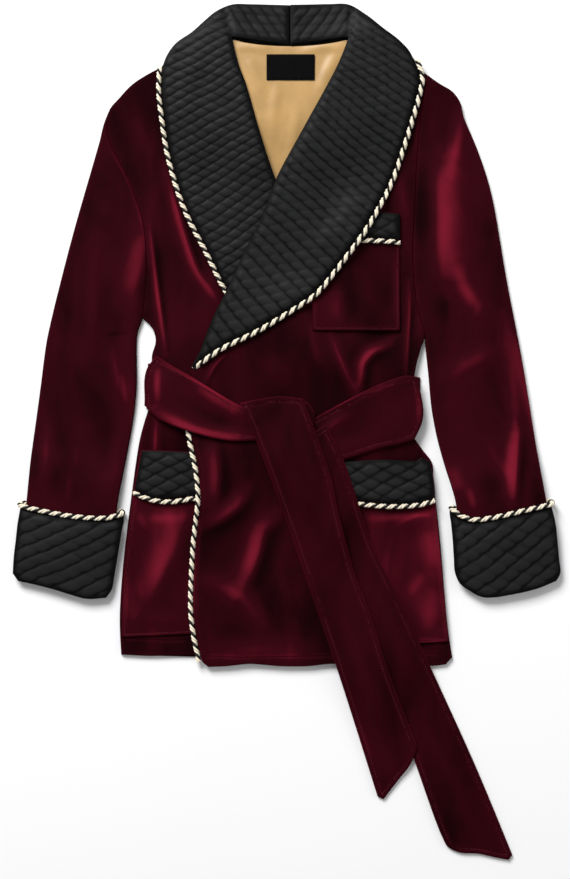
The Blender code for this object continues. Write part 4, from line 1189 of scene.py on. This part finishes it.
def colour_ramp(tree, x, y, *stops):
    """A colour ramp: each stop is its place from 0 to 1 and its colour."""
    ramp = place(tree, "ShaderNodeValToRGB", x, y)
    elements = list(ramp.color_ramp.elements)
    for number, (spot, colour) in enumerate(stops):
        element = elements[number] if number < 2 else ramp.color_ramp.elements.new(spot)
        element.position = spot
        element.color = (*colour, 1.0)
    return ramp


def two_noises(name, inputs, outputs, stretch, *noises):
    """A node group with a noise that is stretched upwards and a plain one, each with its scale."""
    group = bpy.data.node_groups.new(name, "ShaderNodeTree")
    for socket, value in inputs.items():
        group.interface.new_socket(
            socket, in_out="INPUT", socket_type="NodeSocketFloat").default_value = value
    for socket in outputs:
        group.interface.new_socket(socket, in_out="OUTPUT", socket_type="NodeSocketFloat")
    start = place(group, "NodeGroupInput", -700, 0)
    end = place(group, "NodeGroupOutput", 500, 0)
    where = place(group, "ShaderNodeTexCoord", -700, 300)
    stretched = place(group, "ShaderNodeMapping", -480, 300, Scale=(1.0, stretch, 1.0))
    first, second = [place(group, "ShaderNodeTexNoise", -240, y, values)
                     for y, values in zip((300, 0), noises)]
    first_scale, second_scale = inputs
    wire(group, (where, "Object", stretched, "Vector"), (stretched, "Vector", first, "Vector"),
         (where, "Object", second, "Vector"), (start, first_scale, first, "Scale"),
         (start, second_scale, second, "Scale"))
    return group, end, first, second


def fresh_material(name):
    """A Principled material, its node tree and shader; None for the tree if it exists."""
    material = bpy.data.materials.get(name)
    if material:
        return material, None, None
    material = bpy.data.materials.new(name)
    material.use_nodes = True
    return material, material.node_tree, material.node_tree.nodes["Principled BSDF"]


def set_inputs(node, values):
    """Set a node's own sockets."""
    for socket, value in values.items():
        node.inputs[socket].default_value = value


def woven_base(tree, shader, threads, slub, gloss, bump_distance, specular):
    """The weave's fine bump and uneven gloss; gives the weave, for the colour to be joined to."""
    weave = place(tree, "ShaderNodeGroup", -900, 0, node_tree=weave_group())
    set_inputs(weave, {"Threads": threads, "Slub": slub})
    shine = place(tree, "ShaderNodeMapRange", -560, -40,
                  {"To Min": gloss[0], "To Max": gloss[1]})
    bump = place(tree, "ShaderNodeBump", -340, -260, Strength=BUMP_STRENGTH,
                 Distance=bump_distance)
    wire(tree, (weave, "Mottle", shine, "Value"), (shine, "Result", shader, "Roughness"),
         (weave, "Height", bump, "Height"), (bump, "Normal", shader, "Normal"))
    set_inputs(shader, {"Specular IOR Level": specular})
    return weave


def weave_group():
    """Crossed threads with a little unevenness, for satin, lining and label."""
    made = bpy.data.node_groups.get("satin_weave")
    if made:
        return made
    group, end, threads, slub = two_noises(
        "satin_weave", {"Threads": 1500, "Slub": 60}, ("Height", "Mottle"), 0.16,
        {"Detail": 2.0}, {"Detail": 4.0})
    both = place(group, "ShaderNodeMath", 100, 200, operation="ADD")
    wire(group, (threads, "Fac", both, 0), (slub, "Fac", both, 1), (both, "Value", end, "Height"),
         (slub, "Fac", end, "Mottle"))
    return group


def pile_group():
    """Velvet's pile: broad patches where the nap lies differently, and its fine tufts."""
    made = bpy.data.node_groups.get("velvet_pile")
    if made:
        return made
    group, end, patches, tufts = two_noises(
        "velvet_pile", {"Patches": 14, "Tufts": 1400}, ("Nap", "Pile"), 0.45,
        {"Detail": 3.0, "Roughness": 0.55, "Distortion": 0.6}, {"Detail": 2.0})
    wire(group, (patches, "Fac", end, "Nap"), (tufts, "Fac", end, "Pile"))
    return group


def wine_velvet():
    """Deep wine velvet, its colour painted from near-black shade to a crimson highlight by its nap
    attribute, with random patches and tufts.
    """
    material, tree, shader = fresh_material("napped_velvet")
    if tree is None:
        return material
    pile = place(tree, "ShaderNodeGroup", -1000, 0, node_tree=pile_group())
    # The "nap" attribute carries the painted tone, highlights and shade.
    painted_nap_light = place(tree, "ShaderNodeAttribute", -1000, 300, attribute_name="nap")
    swing = place(tree, "ShaderNodeMapRange", -780, 0,
                  {"From Min": 0.3, "From Max": 0.7, "To Min": -0.13, "To Max": 0.15},
                  clamp=False)
    both = place(tree, "ShaderNodeMath", -560, 200, operation="ADD")
    tuft = place(tree, "ShaderNodeMath", -560, 0, operation="MULTIPLY_ADD")
    tuft.inputs[1].default_value = TUFT_SWING
    # The ramp runs from painted shade to painted highlight.
    ramp = colour_ramp(tree, -340, 200, (0.0, colours().velvet_shadow),
                       (1.0, colours().velvet_painted_highlight), (0.4, colours().velvet_body))
    ramp.color_ramp.interpolation = "EASE"
    bump = place(tree, "ShaderNodeBump", -340, -200, Strength=BUMP_STRENGTH, Distance=0.0001)
    wire(tree, (pile, "Nap", swing, "Value"), (painted_nap_light, "Fac", both, 0), (swing, "Result", both, 1),
         (pile, "Pile", tuft, 0), (both, "Value", tuft, 2), (tuft, "Value", ramp, "Fac"),
         (ramp, "Color", shader, "Base Color"), (pile, "Pile", bump, "Height"),
         (bump, "Normal", shader, "Normal"))
    set_inputs(shader, {"Roughness": 0.75, "Specular IOR Level": 0.02, "Sheen Weight": 0.16,
                        "Sheen Roughness": 0.3, "Sheen Tint": (*colours().velvet_sheen, 1.0)})
    return material


def woven(name, colour, roughness, spread, threads, slub, bump_distance, specular):
    """A satin or plain woven finish: its gloss runs over fine threads."""
    material, tree, shader = fresh_material(name)
    if tree is None:
        return material
    weave = woven_base(tree, shader, threads, slub,
                       (roughness - GLOSS_SPREAD, roughness + GLOSS_SPREAD), bump_distance,
                       specular)
    ramp = colour_ramp(tree, -560, 200,
                       (0.35, [channel * (1 - spread) for channel in colour]),
                       (0.65, [min(1.0, channel * (1 + spread)) for channel in colour]))
    wire(tree, (weave, "Mottle", ramp, "Fac"), (ramp, "Color", shader, "Base Color"))
    return material


def black_satin():
    """Black satin, with painted shade along its stitch lines that lifts to its own colour where it
    is puffed.
    """
    material, tree, shader = fresh_material("puffed_satin")
    if tree is None:
        return material
    weave = woven_base(tree, shader, 1500, 140, (0.44, 0.54), 0.00006, 0.07)
    puffed = place(tree, "ShaderNodeAttribute", -900, 300, attribute_name="puff")
    swing = place(tree, "ShaderNodeMath", -740, 200, operation="MULTIPLY_ADD")
    swing.inputs[1].default_value = MOTTLE_SWING
    # Painted shade in the stitch lines, rising to the satin's own colour on the puffs.
    ramp = colour_ramp(tree, -560, 200,
                       (0.32, [channel * STITCH_SHADE for channel in colours().satin]),
                       (0.95, colours().satin))
    wire(tree, (weave, "Mottle", swing, 0), (puffed, "Fac", swing, 2),
         (swing, "Value", ramp, "Fac"), (ramp, "Color", shader, "Base Color"))
    return material


def gold_satin():
    return woven("lining_satin", colours().lining, roughness=0.36, spread=0.1, threads=1600,
                 slub=30, bump_distance=0.00005, specular=0.4)


def bare_label():
    return woven("label_weave", colours().label, roughness=0.6, spread=0.3, threads=2200,
                 slub=300, bump_distance=0.00004, specular=0.04)


def strand_material(name, colour):
    return woven(name, colour, roughness=0.6, spread=0.12, threads=1300, slub=900,
                 bump_distance=0.0001, specular=0.15)


def thread_material():
    return woven("wine_thread", colours().thread, roughness=0.5, spread=0.2, threads=2000,
                 slub=600, bump_distance=0.00005, specular=0.2)


def pale_floor():
    """Plain pale paper, hardly mottled."""
    material, tree, shader = fresh_material("pale_floor")
    if tree is None:
        return material
    where = place(tree, "ShaderNodeTexCoord", -780, 0)
    mottle = place(tree, "ShaderNodeTexNoise", -560, 0, Scale=3.0, Detail=2.0)
    ramp = colour_ramp(tree, -340, 0,
                       (0.0, [channel * FLOOR_SHADE for channel in colours().floor]),
                       (1.0, colours().floor))
    wire(tree, (where, "Object", mottle, "Vector"), (mottle, "Fac", ramp, "Fac"),
         (ramp, "Color", shader, "Base Color"))
    set_inputs(shader, {"Roughness": 0.9, "Specular IOR Level": 0.1})
    return material


# Operators

def soft_light(name, size, energy, spot, aim):
    """A large square lamp turned towards a point."""
    lamp = bpy.data.lights.new(name, "AREA")
    lamp.shape = "SQUARE"
    lamp.size = size
    lamp.energy = energy
    thing = bpy.data.objects.new(name, lamp)
    thing.location = spot
    thing.rotation_euler = (Vector(aim) - Vector(spot)).to_track_quat("-Z", "Y").to_euler()
    bpy.context.scene.collection.objects.link(thing)


class JACKET_OT_stage(bpy.types.Operator):
    """Set up the pale floor, the soft light and the camera above the jacket"""

    bl_idname = "jacket.stage"
    bl_label = "Stage"

    def execute(self, context):
        bpy.ops.object.select_all(action="DESELECT")
        bpy.ops.mesh.primitive_plane_add(size=FLOOR_SIZE, location=(0.0, 0.0, -FLOOR_DROP))
        floor = context.active_object
        floor.name = "pale_floor"
        bpy.ops.object.transform_apply(location=True, rotation=True, scale=True)
        floor.data.materials.append(pale_floor())
        world = bpy.data.worlds.new("soft_daylight")
        world.use_nodes = True
        set_inputs(world.node_tree.nodes["Background"],
                   {"Color": (1.0, 1.0, 1.0, 1.0), "Strength": DAYLIGHT})
        context.scene.world = world
        for lamp in LAMPS:
            soft_light(*lamp)
        camera_data = bpy.data.cameras.new("camera")
        camera_data.lens = CAMERA_LENS
        camera_data.sensor_width = SENSOR
        camera = bpy.data.objects.new("camera", camera_data)
        camera.location = CAMERA_PLACE
        context.scene.collection.objects.link(camera)
        context.scene.camera = camera
        context.scene.view_settings.view_transform = "Standard"
        return {"FINISHED"}


class JACKET_OT_body(bpy.types.Operator):
    """Lay the velvet back and the two fronts"""

    bl_idname = "jacket.body"
    bl_label = "Back and Fronts"

    def execute(self, context):
        for node in BODY_PIECES:
            velvet_piece(node)
        return {"FINISHED"}


class JACKET_OT_sleeves(bpy.types.Operator):
    """Lay the upper and under sleeves"""

    bl_idname = "jacket.sleeves"
    bl_label = "Sleeves"

    def execute(self, context):
        for node in SLEEVE_PIECES:
            velvet_piece(node)
        return {"FINISHED"}


class JACKET_OT_neck(bpy.types.Operator):
    """Line the inside of the neck and sew in the bare label"""

    bl_idname = "jacket.neck"
    bl_label = "Lining and Label"

    def execute(self, context):
        plain_piece("back_lining", wall=sizes().satin_wall / MM, spacing=3.6,
                    material=gold_satin())
        plain_piece("neck_label", wall=sizes().label_wall / MM, spacing=3.0,
                    material=bare_label())
        return {"FINISHED"}


class JACKET_OT_pockets(bpy.types.Operator):
    """Sew on the velvet pocket patches and their quilted bands"""

    bl_idname = "jacket.pockets"
    bl_label = "Pockets"

    def execute(self, context):
        spindles = []
        for node in POCKET_PIECES:
            spindles += sewn_velvet(node)
            quilted_piece(node + "_band", BAND_QUILT)
        sew("pocket_stitching", spindles)
        return {"FINISHED"}


class JACKET_OT_collar(bpy.types.Operator):
    """Quilt the two halves of the collar and its fall"""

    bl_idname = "jacket.collar"
    bl_label = "Collar"

    def execute(self, context):
        quilted_piece("collar_fall", FALL_QUILT, under=True)
        quilted_piece("collar_right", LAPEL_RIGHT_QUILT, stand=STAND_RIGHT_QUILT)
        quilted_piece("collar_left", LAPEL_LEFT_QUILT, stand=STAND_LEFT_QUILT)
        return {"FINISHED"}


class JACKET_OT_cuffs(bpy.types.Operator):
    """Quilt the turned-back cuffs"""

    bl_idname = "jacket.cuffs"
    bl_label = "Cuffs"

    def execute(self, context):
        for side, quilt in (("right", CUFF_RIGHT_QUILT), ("left", CUFF_LEFT_QUILT)):
            quilted_piece("cuff_" + side + "_under", quilt, under=True)
            quilted_piece("cuff_" + side + "_top", quilt)
        return {"FINISHED"}


class JACKET_OT_cords(bpy.types.Operator):
    """Lay the twisted piping cords"""

    bl_idname = "jacket.cords"
    bl_label = "Piping Cords"

    def execute(self, context):
        for node, rows in CORD_ROUTES.items():
            twisted_cord(node, resting_route(node, rows))
        for node, rows in CUFF_ROUTES.items():
            twisted_cord(node, cuff_route(node, rows), ring=True)
        return {"FINISHED"}


class JACKET_OT_belt(bpy.types.Operator):
    """Wrap the velvet belt, its knot and its two tails"""

    bl_idname = "jacket.belt"
    bl_label = "Tie Belt"

    def execute(self, context):
        spindles = []
        for node in BELT_PIECES:
            spindles += sewn_velvet(node)
        sew("belt_stitching", spindles)
        return {"FINISHED"}


class JACKET_PT_panel(bpy.types.Panel):
    """Everything that dresses the jacket, in the order in which it is sewn"""

    bl_label = "Smoking Jacket"
    bl_idname = "JACKET_PT_panel"
    bl_space_type = "VIEW_3D"
    bl_region_type = "UI"
    bl_category = "Jacket"

    def draw(self, context):
        for operator in OPERATORS:
            self.layout.operator(operator.bl_idname)
        for group in (sizes(), colours()):
            for name in group.__annotations__:
                self.layout.prop(group, name)


OPERATORS = (JACKET_OT_stage, JACKET_OT_body, JACKET_OT_sleeves, JACKET_OT_neck,
             JACKET_OT_pockets, JACKET_OT_collar, JACKET_OT_cuffs, JACKET_OT_cords,
             JACKET_OT_belt)
CLASSES = (JacketSizes, JacketColours, *OPERATORS, JACKET_PT_panel)


def register():
    for kind in CLASSES:
        bpy.utils.register_class(kind)
    bpy.types.Scene.jacket_sizes = PointerProperty(type=JacketSizes)
    bpy.types.Scene.jacket_colours = PointerProperty(type=JacketColours)


def unregister():
    del bpy.types.Scene.jacket_colours
    del bpy.types.Scene.jacket_sizes
    for kind in reversed(CLASSES):
        bpy.utils.unregister_class(kind)


def main():
    """Dress the jacket."""
    register()
    bpy.ops.jacket.stage()
    bpy.ops.jacket.body()
    bpy.ops.jacket.sleeves()
    bpy.ops.jacket.neck()
    bpy.ops.jacket.pockets()
    bpy.ops.jacket.collar()
    bpy.ops.jacket.cuffs()
    bpy.ops.jacket.cords()
    bpy.ops.jacket.belt()


if __name__ == "__main__":
    main()
